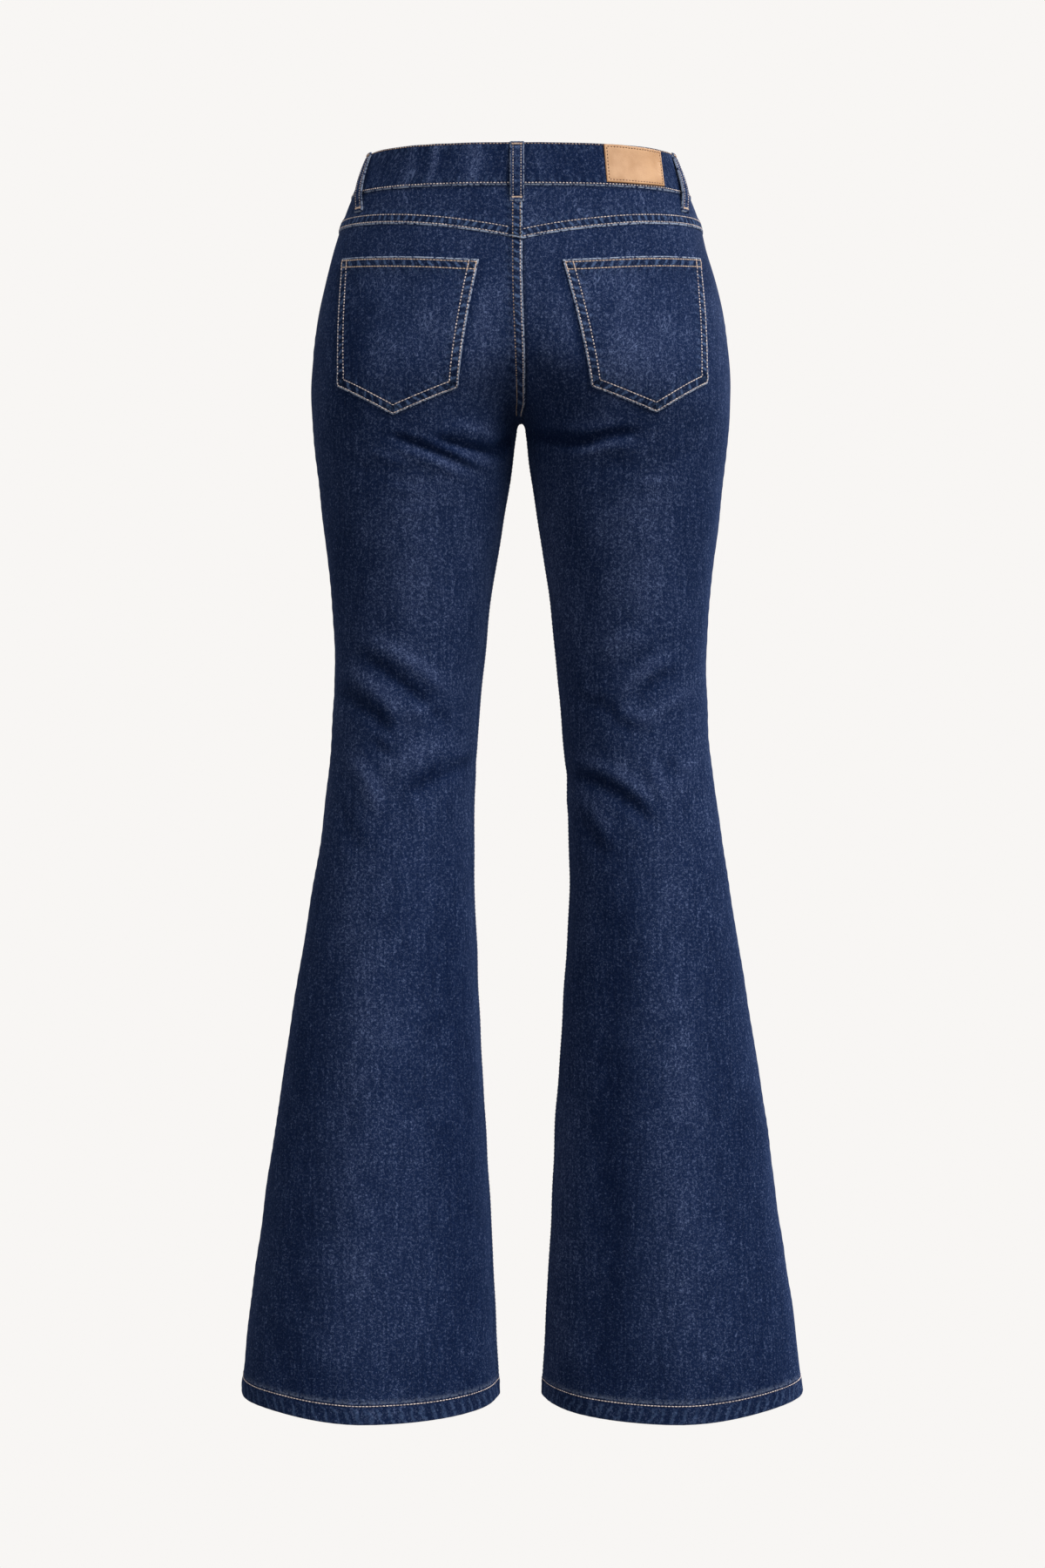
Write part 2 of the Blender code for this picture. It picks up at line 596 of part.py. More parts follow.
def lay_loop(front, top_along, foot_along, length):
    """A belt loop stands off the waistband and lies close at its two stitched ends."""
    waist_length = FRONT_WAIST_LENGTH if front else BACK_WAIST_LENGTH
    top = float(waist_edge(front, abs(top_along) / waist_length))

    def lay(across, down):
        along = top_along + (foot_along - top_along) * down + (across - 0.5) * LOOP_WIDTH
        height = top - length * down
        on_band = BAND_LIFT * (1 - smooth_step(down, *LOOP_OFF_BAND))
        free = np.clip((down - LOOP_ARCH[0]) / (LOOP_ARCH[1] - LOOP_ARCH[0]), 0, 1)
        arch = np.sin(math.pi * free) ** LOOP_ARCH_FULLNESS
        return front, along, height, on_band + SEAM_GAP + LOOP_STAND_OFF * arch + LOOP_WALL, LOOP_WALL
    return lay


def lay_zip(across, down):
    along = ZIP_HALF_WIDTH * (2 * across - 1)
    height = band_foot(True, 0.0) - SEAM_GAP - (FLY_DEPTH - ZIP_SHORTER) * down
    return True, along, height, -PANEL_WALL - SEAM_GAP, ZIP_WALL


def lay_shield(across, down):
    """The fly shield backs the zip, and is cut round at its foot."""
    along = SHIELD_EDGES[0] + (SHIELD_EDGES[1] - SHIELD_EDGES[0]) * across
    depth = FLY_DEPTH - SHIELD_ROUNDING * across ** SHIELD_CURVE
    height = band_foot(True, 0.0) - SEAM_GAP - depth * down
    return True, along, height, -PANEL_WALL - ZIP_WALL - 2 * SEAM_GAP, SHIELD_WALL


def make_button():
    """A pressed metal button on a short shank, standing on the waistband's overlap."""
    build = bmesh.new()
    rings = [build.verts.new((radius * MM, 0, rise * MM)) for radius, rise in BUTTON_PROFILE]
    edges = [build.edges.new(pair) for pair in zip(rings, rings[1:])]
    bmesh.ops.spin(build, geom=rings + edges, cent=(0, 0, 0), axis=(0, 0, 1), angle=math.tau, steps=BUTTON_SIDES,
                   use_merge=True, use_duplicate=False)
    bmesh.ops.remove_doubles(build, verts=build.verts[:], dist=0.01 * MM)
    button = add_object("waist_button", build, "brass")
    height = np.full(2, float(waist_edge(True, 0.0)) - BAND_HEIGHT / 2)
    face_lift = BAND_LIFT + SEAM_GAP
    seat, above = (Vector(place) for place in on_cloth(True, BUTTON_FROM_MIDDLE, height, (face_lift, face_lift + 10)))
    button.location = seat
    button.rotation_euler = (above - seat).to_track_quat("Z", "Y").to_euler()


for old in list(bpy.data.objects):
    bpy.data.objects.remove(old)
JEANS = bpy.data.collections.new("flared_jeans")
bpy.context.scene.collection.children.link(JEANS)

for hand, side in (("left", 1.0), ("right", -1.0)):
    back = cloth_wall("back_panel_" + hand, BACK_PANEL_COLUMNS, PANEL_ROWS, lay_back_panel(side), "denim")
    cloth_wall("front_panel_" + hand, FRONT_PANEL_COLUMNS, PANEL_ROWS, lay_front_panel(side), "denim")
    cloth_wall("back_yoke_" + hand, BACK_PANEL_COLUMNS, YOKE_ROWS, lay_yoke(side), "denim")
    cloth_wall("front_pocket_facing_" + hand, FACING_GRID, FACING_GRID, lay_facing(side), "denim")
    sewn_on("back_pocket_" + hand, back, BACK_POCKETS[hand], POCKET_WALL, "denim")

band = cloth_wall("waistband", *BAND_GRID, lay_band, "denim")
sewn_on("leather_patch", band, PATCH_CORNERS, PATCH_WALL, "leather")
for name, place in BELT_LOOPS.items():
    cloth_wall(name, *LOOP_GRID, lay_loop(*place), "denim")
cloth_wall("fly_zip_tape", 2, FLY_ROWS, lay_zip, "zip_tape")
cloth_wall("fly_shield", 4, FLY_ROWS, lay_shield, "denim")
make_button()
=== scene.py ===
import math

import bmesh
import bpy
import numpy as np
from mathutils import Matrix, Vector


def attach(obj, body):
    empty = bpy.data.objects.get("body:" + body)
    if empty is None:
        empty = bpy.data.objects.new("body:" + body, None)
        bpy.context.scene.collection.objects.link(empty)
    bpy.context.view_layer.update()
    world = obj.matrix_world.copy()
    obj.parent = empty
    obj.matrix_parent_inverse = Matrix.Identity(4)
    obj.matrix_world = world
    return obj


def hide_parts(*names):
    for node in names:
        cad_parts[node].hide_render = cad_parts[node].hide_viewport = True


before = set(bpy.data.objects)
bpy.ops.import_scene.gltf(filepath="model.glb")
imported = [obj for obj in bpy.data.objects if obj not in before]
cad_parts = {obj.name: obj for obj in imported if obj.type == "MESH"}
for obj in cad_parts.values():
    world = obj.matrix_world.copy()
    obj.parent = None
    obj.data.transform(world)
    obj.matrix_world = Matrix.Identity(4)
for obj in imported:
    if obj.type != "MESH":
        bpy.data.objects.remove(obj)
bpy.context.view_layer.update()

# ---------------------------------------------------------------------------------------------------------------------
# Back panels. One piece of indigo twill for the back of each leg, cut from the yoke down to the hem. The left one is
# felled over the right one at the centre back, and both are felled over the front panels down the inside leg. Front
# is -Y, the wearer's left is +X, and sizes are millimetres until a mesh is laid out.
MM = 0.001
HANDS = {"left": 1.0, "right": -1.0}
SEAM_GAP = 0.3
CLOTH_WALL = 0.95

# Sections of the body and one leg. "inner" is below zero where both sides are one tube.
SECTION_COLUMNS = ("height", "outer", "inner", "back", "front", "middle", "round")
SECTIONS = np.array((
    (10, 128.5, -128.5, 95.0, -97.0, 0, 2.10),
    (0, 131.5, -131.5, 97.0, -100.0, 0, 2.10),
    (-20, 138.0, -138.0, 100.5, -102.5, 0, 2.10),
    (-40, 147.0, -147.0, 104.5, -105.0, 0, 2.15),
    (-60, 154.5, -154.5, 109.5, -107.0, 0, 2.15),
    (-80, 160.0, -159.0, 114.5, -109.0, 1, 2.20),
    (-120, 171.0, -155.0, 122.5, -110.0, 2, 2.25),
    (-150, 176.5, -115.0, 126.5, -108.0, 3, 2.30),
    (-180, 180.0, -63.0, 127.5, -105.0, 4, 2.30),
    (-205, 181.0, -17.0, 124.5, -101.0, 5, 2.30),
    (-220, 180.8, 3.0, 119.5, -98.0, 5, 2.30),
    (-233, 180.4, 10.0, 114.5, -95.5, 5, 2.25),
    (-246, 179.4, 11.2, 109.5, -94.0, 5, 2.20),
    (-265, 177.4, 12.7, 103.0, -92.0, 4, 2.15),
    (-288, 174.4, 15.2, 95.5, -90.5, 2, 2.12),
    (-319, 171.0, 19.2, 87.0, -88.5, 0, 2.10),
    (-379, 164.7, 27.4, 72.5, -84.0, -5, 2.05),
    (-439, 161.3, 33.4, 61.5, -79.0, -8, 2.00),
    (-500, 163.8, 38.3, 56.0, -74.5, -9, 2.00),
    (-560, 169.9, 42.4, 57.0, -70.5, -7, 2.00),
    (-621, 178.2, 43.2, 61.5, -68.5, -4, 2.00),
    (-696, 189.9, 40.0, 68.0, -69.0, -1, 2.00),
    (-772, 201.6, 36.0, 73.5, -71.5, 0, 2.05),
    (-847, 212.9, 31.7, 77.5, -75.0, 0, 2.05),
    (-923, 223.8, 28.1, 80.5, -79.0, 0, 2.10),
    (-998, 234.8, 24.7, 83.0, -82.0, 0, 2.10),
    (-1072.5, 243.4, 21.6, 85.0, -84.5, 0, 2.10),
    (-1110, 247.8, 20.2, 86.5, -86.0, 0, 2.10),
), dtype=float)
CROTCH_HEIGHT = -233.0
HEM_HEIGHT = -1072.5
CLEFT = 10.0
SIDE_SEAM_FORWARD = 7.0
EASE = {"inner": 3}
EASE_ELSE = 9


def smooth_step(value, start, end):
    """0 before start, 1 after end, and a soft rise between."""
    share = np.clip((value - start) / (end - start), 0.0, 1.0)
    return share * share * (3.0 - 2.0 * share)


def dent(distance, width):
    """1 at no distance and next to nothing past twice the width."""
    return np.exp(-(distance / width) ** 2)


def table_curve(heights, values, wanted):
    """A curve through a table's rows that never swings past them."""
    order = np.argsort(heights)
    x, y = heights[order], values[order]
    step = np.diff(x)
    slope = np.diff(y) / step
    bend = np.zeros_like(y)
    same = slope[1:] * slope[:-1] > 0
    near, far = 2 * step[1:] + step[:-1], step[1:] + 2 * step[:-1]
    product = np.where(same, slope[1:] * slope[:-1], 1.0)
    mean = (near + far) * product / np.where(same, near * slope[1:] + far * slope[:-1], 1.0)
    bend[1:-1] = np.where(same, mean, 0.0)
    bend[0], bend[-1] = slope[0], slope[-1]
    row = np.clip(np.searchsorted(x, wanted) - 1, 0, len(step) - 1)
    t = (wanted - x[row]) / step[row]
    rise = (1 + 2 * t) * (1 - t) ** 2 * y[row] + t * t * (3 - 2 * t) * y[row + 1]
    return rise + step[row] * (t * (1 - t) ** 2 * bend[row] - t * t * (1 - t) * bend[row + 1])


FINE_HEIGHTS = np.arange(SECTIONS[-1, 0], SECTIONS[0, 0] + 1.0)


def fine_columns():
    """Every column of the sections, a millimetre apart and eased."""
    columns = {}
    for place, name in enumerate(SECTION_COLUMNS[1:], start=1):
        values = table_curve(SECTIONS[:, 0], SECTIONS[:, place], FINE_HEIGHTS)
        reach = EASE.get(name, EASE_ELSE)
        kernel = np.ones(2 * reach + 1) / (2 * reach + 1)
        ends = 2.0 * values[[0, -1]]
        padded = np.concatenate((ends[0] - values[reach:0:-1], values, ends[1] - values[-2:-reach - 2:-1]))
        columns[name] = np.convolve(padded, kernel, mode="valid")
    return columns


COLUMNS = fine_columns()


def section_at(height):
    """Middle, half width, depths and roundness of the section at each height, in the softened X."""
    read = {name: np.interp(height, FINE_HEIGHTS, values) for name, values in COLUMNS.items()}
    outer = np.sqrt(read["outer"] ** 2 + CLEFT ** 2)
    centre, half = (outer + read["inner"]) / 2, (outer - read["inner"]) / 2
    return centre, half, read["back"], read["front"], read["middle"], read["round"]


def section_point(height, angle):
    """X and Y on the left half's section at an angle: 0 at the widest line, 90 degrees at the back."""
    centre, half, back, front, middle, power = section_at(height)
    cosine, sine = np.cos(angle), np.sin(angle)
    reach = (np.abs(cosine) ** power + np.abs(sine) ** power) ** (-1.0 / power)
    depth = np.where(sine > 0, back - middle, middle - front)
    soft_x = centre + half * reach * cosine
    return np.sqrt(np.maximum(soft_x ** 2 - CLEFT ** 2, 0.0)), middle + depth * reach * sine


def form_value(x, y, z):
    """1 on the form, less inside it and more outside."""
    centre, half, back, front, middle, power = section_at(z)
    depth = np.where(y > middle, back - middle, middle - front)
    soft_x = np.sqrt(x * x + CLEFT ** 2)
    return np.abs((soft_x - centre) / half) ** power + np.abs((y - middle) / depth) ** power


def outward(x, y, z):
    """Unit directions out of the form."""
    centre, half, back, front, middle, power = section_at(z)
    depth = np.where(y > middle, back - middle, middle - front)
    soft_x = np.sqrt(x * x + CLEFT ** 2)
    u, v = (soft_x - centre) / half, (y - middle) / depth
    gradient = np.stack((
        power / half * np.sign(u) * np.abs(u) ** (power - 1) * x / soft_x,
        power / depth * np.sign(v) * np.abs(v) ** (power - 1),
        (form_value(x, y, z + 1.0) - form_value(x, y, z - 1.0)) / 2.0,
    ), axis=-1)
    return gradient / np.linalg.norm(gradient, axis=-1, keepdims=True)


LOOKUP_STEPS = 160
MEASURE_STEPS = 400


def angle_table(front):
    """For every millimetre of height: the angle at each share of one face's cloth, and the face's whole length."""
    centre, half, back, front_depth, middle, power = section_at(FINE_HEIGHTS)
    inward = np.clip((centre - CLEFT) / half, -1.0, 1.0)
    across = np.sign(inward) * np.abs(inward) ** power
    inside = np.arctan2(np.maximum(1.0 - np.abs(across), 0.0) ** (1.0 / power), -inward)
    inside = -inside if front else inside
    side = -np.arcsin(np.clip(SIDE_SEAM_FORWARD / (middle - front_depth), 0, 1))
    angles = inside[:, None] + (side - inside)[:, None] * np.linspace(0, 1, MEASURE_STEPS + 1) ** 2
    x, y = section_point(FINE_HEIGHTS[:, None], angles)
    lengths = np.zeros_like(x)
    lengths[:, 1:] = np.cumsum(np.hypot(np.diff(x, axis=1), np.diff(y, axis=1)), axis=1)
    wanted = np.linspace(0, 1, LOOKUP_STEPS + 1) ** 2
    return np.array([np.interp(wanted * l[-1], l, a) for l, a in zip(lengths, angles)]), lengths[:, -1]


ANGLES, FACE_LENGTHS = (np.stack(both) for both in zip(angle_table(False), angle_table(True)))


def face_length(front, height):
    """Length of cloth on one face of a section, from the centre or inside leg seam to the side seam."""
    back_length, front_length = (np.interp(height, FINE_HEIGHTS, lengths) for lengths in FACE_LENGTHS)
    return np.where(front, front_length, back_length)


def angle_at(front, share, height):
    """The section's angle at a share of one face's length."""
    down = np.clip(height - FINE_HEIGHTS[0], 0, len(FINE_HEIGHTS) - 1.001)
    across = np.minimum(np.sqrt(np.clip(share, 0, 1)) * LOOKUP_STEPS, LOOKUP_STEPS - 0.001)
    row, column = down.astype(int), across.astype(int)
    below, beyond, face = down - row, across - column, front.astype(int)
    near = ANGLES[face, row, column] * (1 - beyond) + ANGLES[face, row, column + 1] * beyond
    far = ANGLES[face, row + 1, column] * (1 - beyond) + ANGLES[face, row + 1, column + 1] * beyond
    return near * (1 - below) + far * below


# Folds along lines seen from behind (face 1) or from in front (face -1): ridges lift, and troughs fall. Each row is a
# face, X and Z where the line starts, X and Z where it ends, its bow, its lift and its width.
FOLDS = np.array((
    # under the seat, left and right
    (1, 106, -251, 42, -274, -1, -3.0, 3.6),
    (1, 98, -262, 42, -284, -1, 1.5, 5),
    (1, 68, -253, 16, -262, 1, -3.8, 3.6),
    (1, 24, -261, 9, -247, 1, -3.4, 3.6),
    (1, 58, -243, 20, -249, -2, 1.8, 5),
    (1, 60, -264, 20, -272, 1, 1.8, 5),
    (1, -14, -245, -62, -255, 3, -4.0, 4),
    (1, -48, -258, -98, -248, -2, -2.8, 4),
    (1, -44, -268, -98, -258, -3, 1.7, 5),
    (1, -60, -282, -94, -270, -2, -0.9, 7),
    # behind the left knee
    (1, 126, -421, 64, -464, -4, 2.2, 8),
    (1, 140, -430, 63, -489, -3, -2.4, 6.5),
    (1, 150, -447, 100, -487, -4, 2.2, 8),
    (1, 158, -462, 106, -503, -4, -2.3, 7),
    (1, 144, -520, 118, -566, -3, 2.0, 9),
    (1, 38, -521, 100, -557, 4, -2.5, 7),
    (1, 60, -508, 112, -538, 4, 1.4, 10),
    # behind the right knee
    (1, -104, -414, -74, -440, 3, 1.4, 9),
    (1, -126, -434, -82, -478, 4, 1.7, 8),
    (1, -120, -493, -80, -483, 2, 1.4, 7),
    (1, -50, -464, -96, -500, -4, -1.3, 7),
    (1, -52, -523, -114, -561, -5, 2.1, 8),
    (1, -40, -531, -116, -577, -6, -2.6, 7),
    (1, -42, -550, -78, -594, -3, 1.9, 10),
    # long soft falls down the flare, behind
    (1, 118, -640, 158, -1040, 0, 2.0, 26),
    (1, 82, -660, 96, -1060, 0, -1.8, 22),
    (1, 152, -700, 204, -1040, 0, -1.6, 22),
    (1, -112, -640, -140, -1050, 0, 2.0, 26),
    (1, -78, -680, -76, -1060, 0, -1.8, 22),
    (1, -150, -700, -200, -1040, 0, -1.4, 24),
    # across the front of the hips and crotch
    (-1, 8, -214, 70, -190, -4, -2.4, 8),
    (-1, 14, -228, 84, -214, -4, 1.6, 9),
    (-1, -8, -212, -64, -186, 4, -2.6, 8),
    (-1, -14, -226, -90, -210, 4, 1.6, 9),
    (-1, 16, -250, 78, -262, 3, -1.8, 9),
    (-1, -18, -246, -70, -260, -3, -1.6, 9),
    # over the front of the knees
    (-1, 52, -486, 110, -470, 3, -1.6, 11),
    (-1, 148, -548, 96, -566, -3, -1.8, 11),
    (-1, -48, -500, -100, -478, -3, -1.8, 11),
    (-1, -152, -540, -92, -560, 3, -1.6, 11),
    # long soft falls down the flare, in front
    (-1, 126, -620, 150, -1040, 0, 1.8, 28),
    (-1, 88, -700, 92, -1050, 0, -1.4, 22),
    (-1, -124, -600, -152, -1040, 0, 1.8, 28),
    (-1, -86, -680, -94, -1050, 0, -1.4, 22),
    # finer creases between them: under the seat and over the thighs
    (1, 124, -262, 92, -274, 1, 0.9, 4),
    (1, 97, -248, 40, -266, 2, 0.8, 4),
    (1, 112, -290, 74, -295, 2, 0.7, 5),
    (1, 104, -314, 70, -309, 1, 0.5, 6),
    (1, -36, -242, -80, -240, 2, 0.9, 4),
    (1, -100, -290, -127, -284, 2, 0.7, 5),
    (1, -64, -320, -100, -312, 1, 0.5, 6),
    (1, 150, -262, 118, -282, 2, -0.6, 6),
    (1, -152, -258, -122, -276, 2, -0.5, 6),
    # finer creases behind the knees
    (1, 96, -487, 68, -477, -3, 1.4, 6),
    (1, 101, -494, 116, -508, 1, 1.1, 5),
    (1, 128, -500, 108, -520, 2, -1.2, 6),
    (1, 72, -536, 46, -512, 2, 0.9, 5),
    (1, 92, -548, 78, -572, 2, 0.9, 6),
    (1, 88, -444, 66, -470, 2, -0.7, 5),
    (1, 150, -560, 134, -604, 2, -1.2, 8),
    (1, -97, -472, -133, -447, -3, -1.7, 6),
    (1, -104, -487, -144, -462, 3, 1.2, 6),
    (1, -113, -526, -127, -556, 2, 1.2, 6),
    (1, -149, -522, -134, -552, 2, 1.1, 6),
    (1, -124, -520, -140, -540, 1, -0.9, 6),
    (1, -48, -561, -72, -606, -2, -2.0, 8),
    (1, -66, -430, -90, -412, 2, 0.8, 5),
    (1, -90, -446, -112, -424, 3, -0.7, 6),
    (1, -54, -458, -66, -470, 1, 1.0, 5),
    # finer creases in front
    (-1, 22, -206, 58, -180, -2, 0.9, 5),
    (-1, 40, -236, 96, -232, -2, 0.8, 6),
    (-1, -24, -204, -56, -176, 2, 0.9, 5),
    (-1, -36, -234, -92, -226, 3, 0.8, 6),
    (-1, 60, -508, 118, -494, 3, 1.1, 7),
    (-1, 130, -520, 84, -536, -2, 0.9, 7),
    (-1, -58, -516, -112, -498, -3, 1.2, 7),
    (-1, -136, -514, -90, -528, 2, 0.8, 7),
    (-1, 112, -300, 78, -312, 2, 0.6, 7),
    (-1, -108, -306, -70, -296, 2, 0.6, 7),
), dtype=float)
FOLD_TURN = 7.0
FOLD_END = 1.2

# Slackness: shallow waves in all directions, each with a wave vector in cycles a millimetre, a phase and a depth.
WAVE_COUNT = 16
wave_draw = np.random.default_rng(11)
wave_lengths = np.geomspace(30, 120, WAVE_COUNT)
wave_ways = wave_draw.normal(size=(WAVE_COUNT, 3)) * (1.0, 1.0, 0.7)
WAVES = wave_ways / np.linalg.norm(wave_ways, axis=1)[:, None] / wave_lengths[:, None]
WAVE_PHASES = wave_draw.uniform(0, math.tau, WAVE_COUNT)
WAVE_DEPTHS = 0.0026 * wave_lengths


# A sharp fold's upper, lit flank lies where the table puts it, and the ridge itself a little below: the paler colour
# painted along the table's line, partly wear and partly painted highlight, stays on that flank.
SHARP_WIDTH = 15
RIDGE_SHIFT = np.array((0, 2.6, -3.4, 2.6, -3.4, 0, 0, 0))
SHARP = FOLDS[:, -1] < SHARP_WIDTH
FOLD_FORM = FOLDS + SHARP[:, None] * RIDGE_SHIFT


def line_field(table, x, y, z):
    """The sum of a table's lines at each point: each has a value at its middle and fades aside and at its ends."""
    middle = section_at(z)[4]
    total = np.zeros_like(x)
    for face, x_from, z_from, x_to, z_to, bow, value, width in table:
        run_x, run_z = x_to - x_from, z_to - z_from
        length = math.hypot(run_x, run_z)
        along = ((x - x_from) * run_x + (z - z_from) * run_z) / length ** 2
        aside = ((z - z_from) * run_x - (x - x_from) * run_z) / length - 4 * bow * along * (1 - along)
        fade = np.exp(-FOLD_END * (2 * np.clip(along, -2, 3) - 1) ** 4)
        facing = 1.0 / (1.0 + np.exp(-face * (y - middle) / FOLD_TURN))
        total += value * fade * facing * np.exp(-(aside / width) ** 2)
    return total


def drape_lift(x, y, z):
    """How far folds and slackness raise or sink the cloth. The waistband lies flat."""
    waves = sum(depth * np.sin(math.tau * (x * wx + y * wy + z * wz) + phase)
                for (wx, wy, wz), phase, depth in zip(WAVES, WAVE_PHASES, WAVE_DEPTHS))
    return line_field(FOLD_FORM, x, y, z) + waves * (1 - smooth_step(z, -90, -55))


def on_cloth(front, side, along, height, lift):
    """Points in metres: how far from the centre or inside leg seam towards one side, a height and a lift.

    A length below zero reaches over that seam: to the other side of the body, or round the leg.
    """
    front, side, along, height, lift = np.broadcast_arrays(front, side, along, height, lift)
    over, on_leg = along < 0, height < CROTCH_HEIGHT
    front = np.where(over & on_leg, ~front, front)
    side = np.where(over & ~on_leg, -side, side)
    x, y = section_point(height, angle_at(front, np.abs(along) / face_length(front, height), height))
    points = np.stack((x, y, height), axis=-1)
    points = points + outward(x, y, height) * (lift + drape_lift(side * x, y, height))[:, None]
    points[:, 0] *= side
    return points * MM


def length_at_x(front, x, height):
    """Length of cloth from the centre or inside leg seam to where a face stands at a distance from the middle."""
    front, x, height = np.broadcast_arrays(front, x, height)
    near, far = np.zeros(x.shape), np.ones(x.shape)
    for _ in range(14):
        share = (near + far) / 2
        short = section_point(height, angle_at(front, share, height))[0] < x
        near, far = np.where(short, share, near), np.where(short, far, share)
    return (near + far) / 2 * face_length(front, height)


GRAIN_X = 100.0          # the warp runs straight down each leg along this line
GRAIN_LINES = [length_at_x(front, GRAIN_X, FINE_HEIGHTS) for front in (False, True)]


def across_grain(front, side, along, height):
    """How far across the cloth a place is from its grain line, for the cloth's own map."""
    back_line, front_line = (np.interp(height, FINE_HEIGHTS, line) for line in GRAIN_LINES)
    return (along - np.where(front, front_line, back_line)) * side


def outward_in_metres(places):
    """Directions out of the form at places in metres, on either side of the middle plane."""
    x, y, z = np.asarray(places).T / MM
    out = outward(np.abs(x), y, z)
    out[:, 0] *= np.where(x < 0, -1.0, 1.0)
    return out


# Lines along which the cloth is painted paler (above zero) or deeper (below zero), like the folds. Part is wear, part
# is painted light and painted shade, the plainest of which are marked below. Those in front are alike on both legs.
WEAR_IN_FRONT = (
    (98, -280, 92, -440, 0.20, 34),
    (100, -490, 106, -550, 0.24, 32),
    (132, -600, 152, -1120, 0.10, 20),
    (58, -600, 44, -1120, -0.14, 24),
    (178, -640, 214, -1120, -0.14, 22),
    (166, -280, 160, -440, -0.14, 16),
)
WEAR_AND_SHADING = np.array((
    # seat and yokes
    (1, 104, -150, 52, -176, 0, 0.10, 34),
    (1, 147, -90, 140, -250, 0, -0.24, 17),
    (1, -120, -150, -76, -178, 0, 0.16, 40),
    (1, -160, -60, -160, -140, 0, -0.18, 14),
    (1, -60, -200, -122, -206, 0, 0.16, 18),
    (1, -10, -232, -44, -226, 0, -0.08, 20),
    # backs of the thighs
    (1, 96, -300, 88, -430, 0, 0.16, 26),
    (1, 60, -266, 40, -360, 0, 0.10, 16),
    (1, 168, -280, 158, -420, 0, -0.12, 16),
    (1, -104, -290, -96, -420, 0, 0.18, 30),
    (1, -156, -290, -146, -420, 0, -0.06, 18),
    (1, -16, -270, -40, -440, 0, 0.22, 14),
    # backs of the knees
    (1, 110, -500, 84, -530, 0, 0.04, 26),
    (1, -104, -500, -120, -540, 0, 0.05, 26),
    # backs of the flares: paler bands down the middle, deep ones beside them
    (1, 130, -590, 146, -1120, 0, 0.09, 17),
    (1, 172, -640, 202, -1120, 0, -0.15, 20),
    (1, 64, -580, 44, -1120, 0, -0.19, 27),
    (1, -130, -590, -140, -1120, 0, 0.08, 16),
    (1, -80, -580, -78, -1120, 0, -0.27, 18),
    (1, -168, -620, -212, -1120, 0, -0.17, 24),
    # painted light down the right flare's inner edge, which faces away from the key light
    (1, -36, -780, -24, -1120, 0, 0.24, 11),
    (1, 20, -1052, 240, -1052, 0, -0.10, 36),
    (1, -20, -1052, -240, -1052, 0, -0.10, 36),
    # the seat's middle on either side of its seam: painted light that offsets the shade of the cleft between the seat's
    # halves
    (1, 34, -128, 34, -222, 0, 0.24, 18),
    (1, -36, -128, -44, -206, 0, 0.16, 18),
    # painted shade down in the creases under the seat
    (1, 106, -251, 42, -274, -1, -0.32, 3.6),
    (1, 68, -253, 16, -262, 1, -0.38, 4),
    (1, 24, -261, 9, -247, 1, -0.38, 4),
    (1, -9, -245, -60, -255, 3, -0.45, 4.5),
    (1, -48, -258, -98, -248, -2, -0.30, 4),
    # painted shadow beside the back pockets' inner edges
    (1, 32, -106, 50.5, -213, 1.5, -0.34, 3),
    (1, -31, -106, -56, -213, -1.5, -0.34, 3),
) + tuple((-1, side * x_from, z_from, side * x_to, z_to, 0, value, width)
          for x_from, z_from, x_to, z_to, value, width in WEAR_IN_FRONT for side in HANDS.values()), dtype=float)
WEAR_EVEN = 0.42
# Fold paleness is partly wear and partly painted highlight on the ridges; the same factor paints shade into the
# troughs, which it makes deeper.
FOLD_RUB_AND_SHADING = 0.130         # how much paler a millimetre of a sharp ridge is than the flat cloth


def wear_and_shading_at(points, rub=0.0):
    """How pale the cloth is painted at points in metres, from 0 to 1: wear, with painted light and shade along folds
    and lines.
    """
    x, y, z = points.T / MM
    paleness = WEAR_EVEN + line_field(WEAR_AND_SHADING, x, y, z) + FOLD_RUB_AND_SHADING * line_field(FOLDS[SHARP], x, y, z) + rub
    return np.clip(paleness, 0.0, 1.0)


# Seams. A felled edge lies over its neighbour, is held by two rows of stitches and puckers between them.
LAP_LIFT = 1.15
LAP_REACH = 1.0
LAP_DRIFT = 2.8
LAP_ROWS = (1.7, 8.0)
LAP_WIDTH = 10.5
PUCKER_PITCH = 7.2


def pucker(run):
    """Small waves along a sewn edge, uneven in length and height, from -1 to 1."""
    wander = run + 2.3 * np.sin(run / 17.0) + 1.3 * np.sin(run / 7.3 + 1.0)
    return np.sin(math.tau * wander / PUCKER_PITCH) * (0.7 + 0.3 * np.sin(run / 11.0 + 2.0))


MARKS = ("rub", "fray", "groove", "ladder", "run")
PUCKER_LIFT = 0.30


def no_marks(like):
    return np.zeros((len(MARKS), len(like)))


def marks_of(like, **values):
    """What a seam does to the cloth's look at each place: paling, frayed edge, painted shade in the groove under a row
    of stitches and beside raised edges, ladder of puckers between rows, and how far along the seam the place is."""
    marks = no_marks(like)
    for name, value in values.items():
        marks[MARKS.index(name)] = value
    return marks


def with_marks(marks, more, strength=1.0):
    """Two seams' marks together. The run is that of the stronger ladder."""
    scaled = more[:-1] * strength
    run = np.where(scaled[-1] > marks[-2], more[-1], marks[-1])
    return np.concatenate((marks[:-1] + scaled, run[None]))


def lap_reach(front, side, height):
    """How far an upper edge lies past the seam's line. The seat's strip drifts to the right towards the crotch."""
    drifts = float(side > 0 and not front)
    above_crotch = smooth_step(height, CROTCH_HEIGHT + 1.0, CROTCH_HEIGHT + 14.0)
    return LAP_REACH + LAP_DRIFT * drifts * smooth_step(-height, 110.0, 215.0) * above_crotch


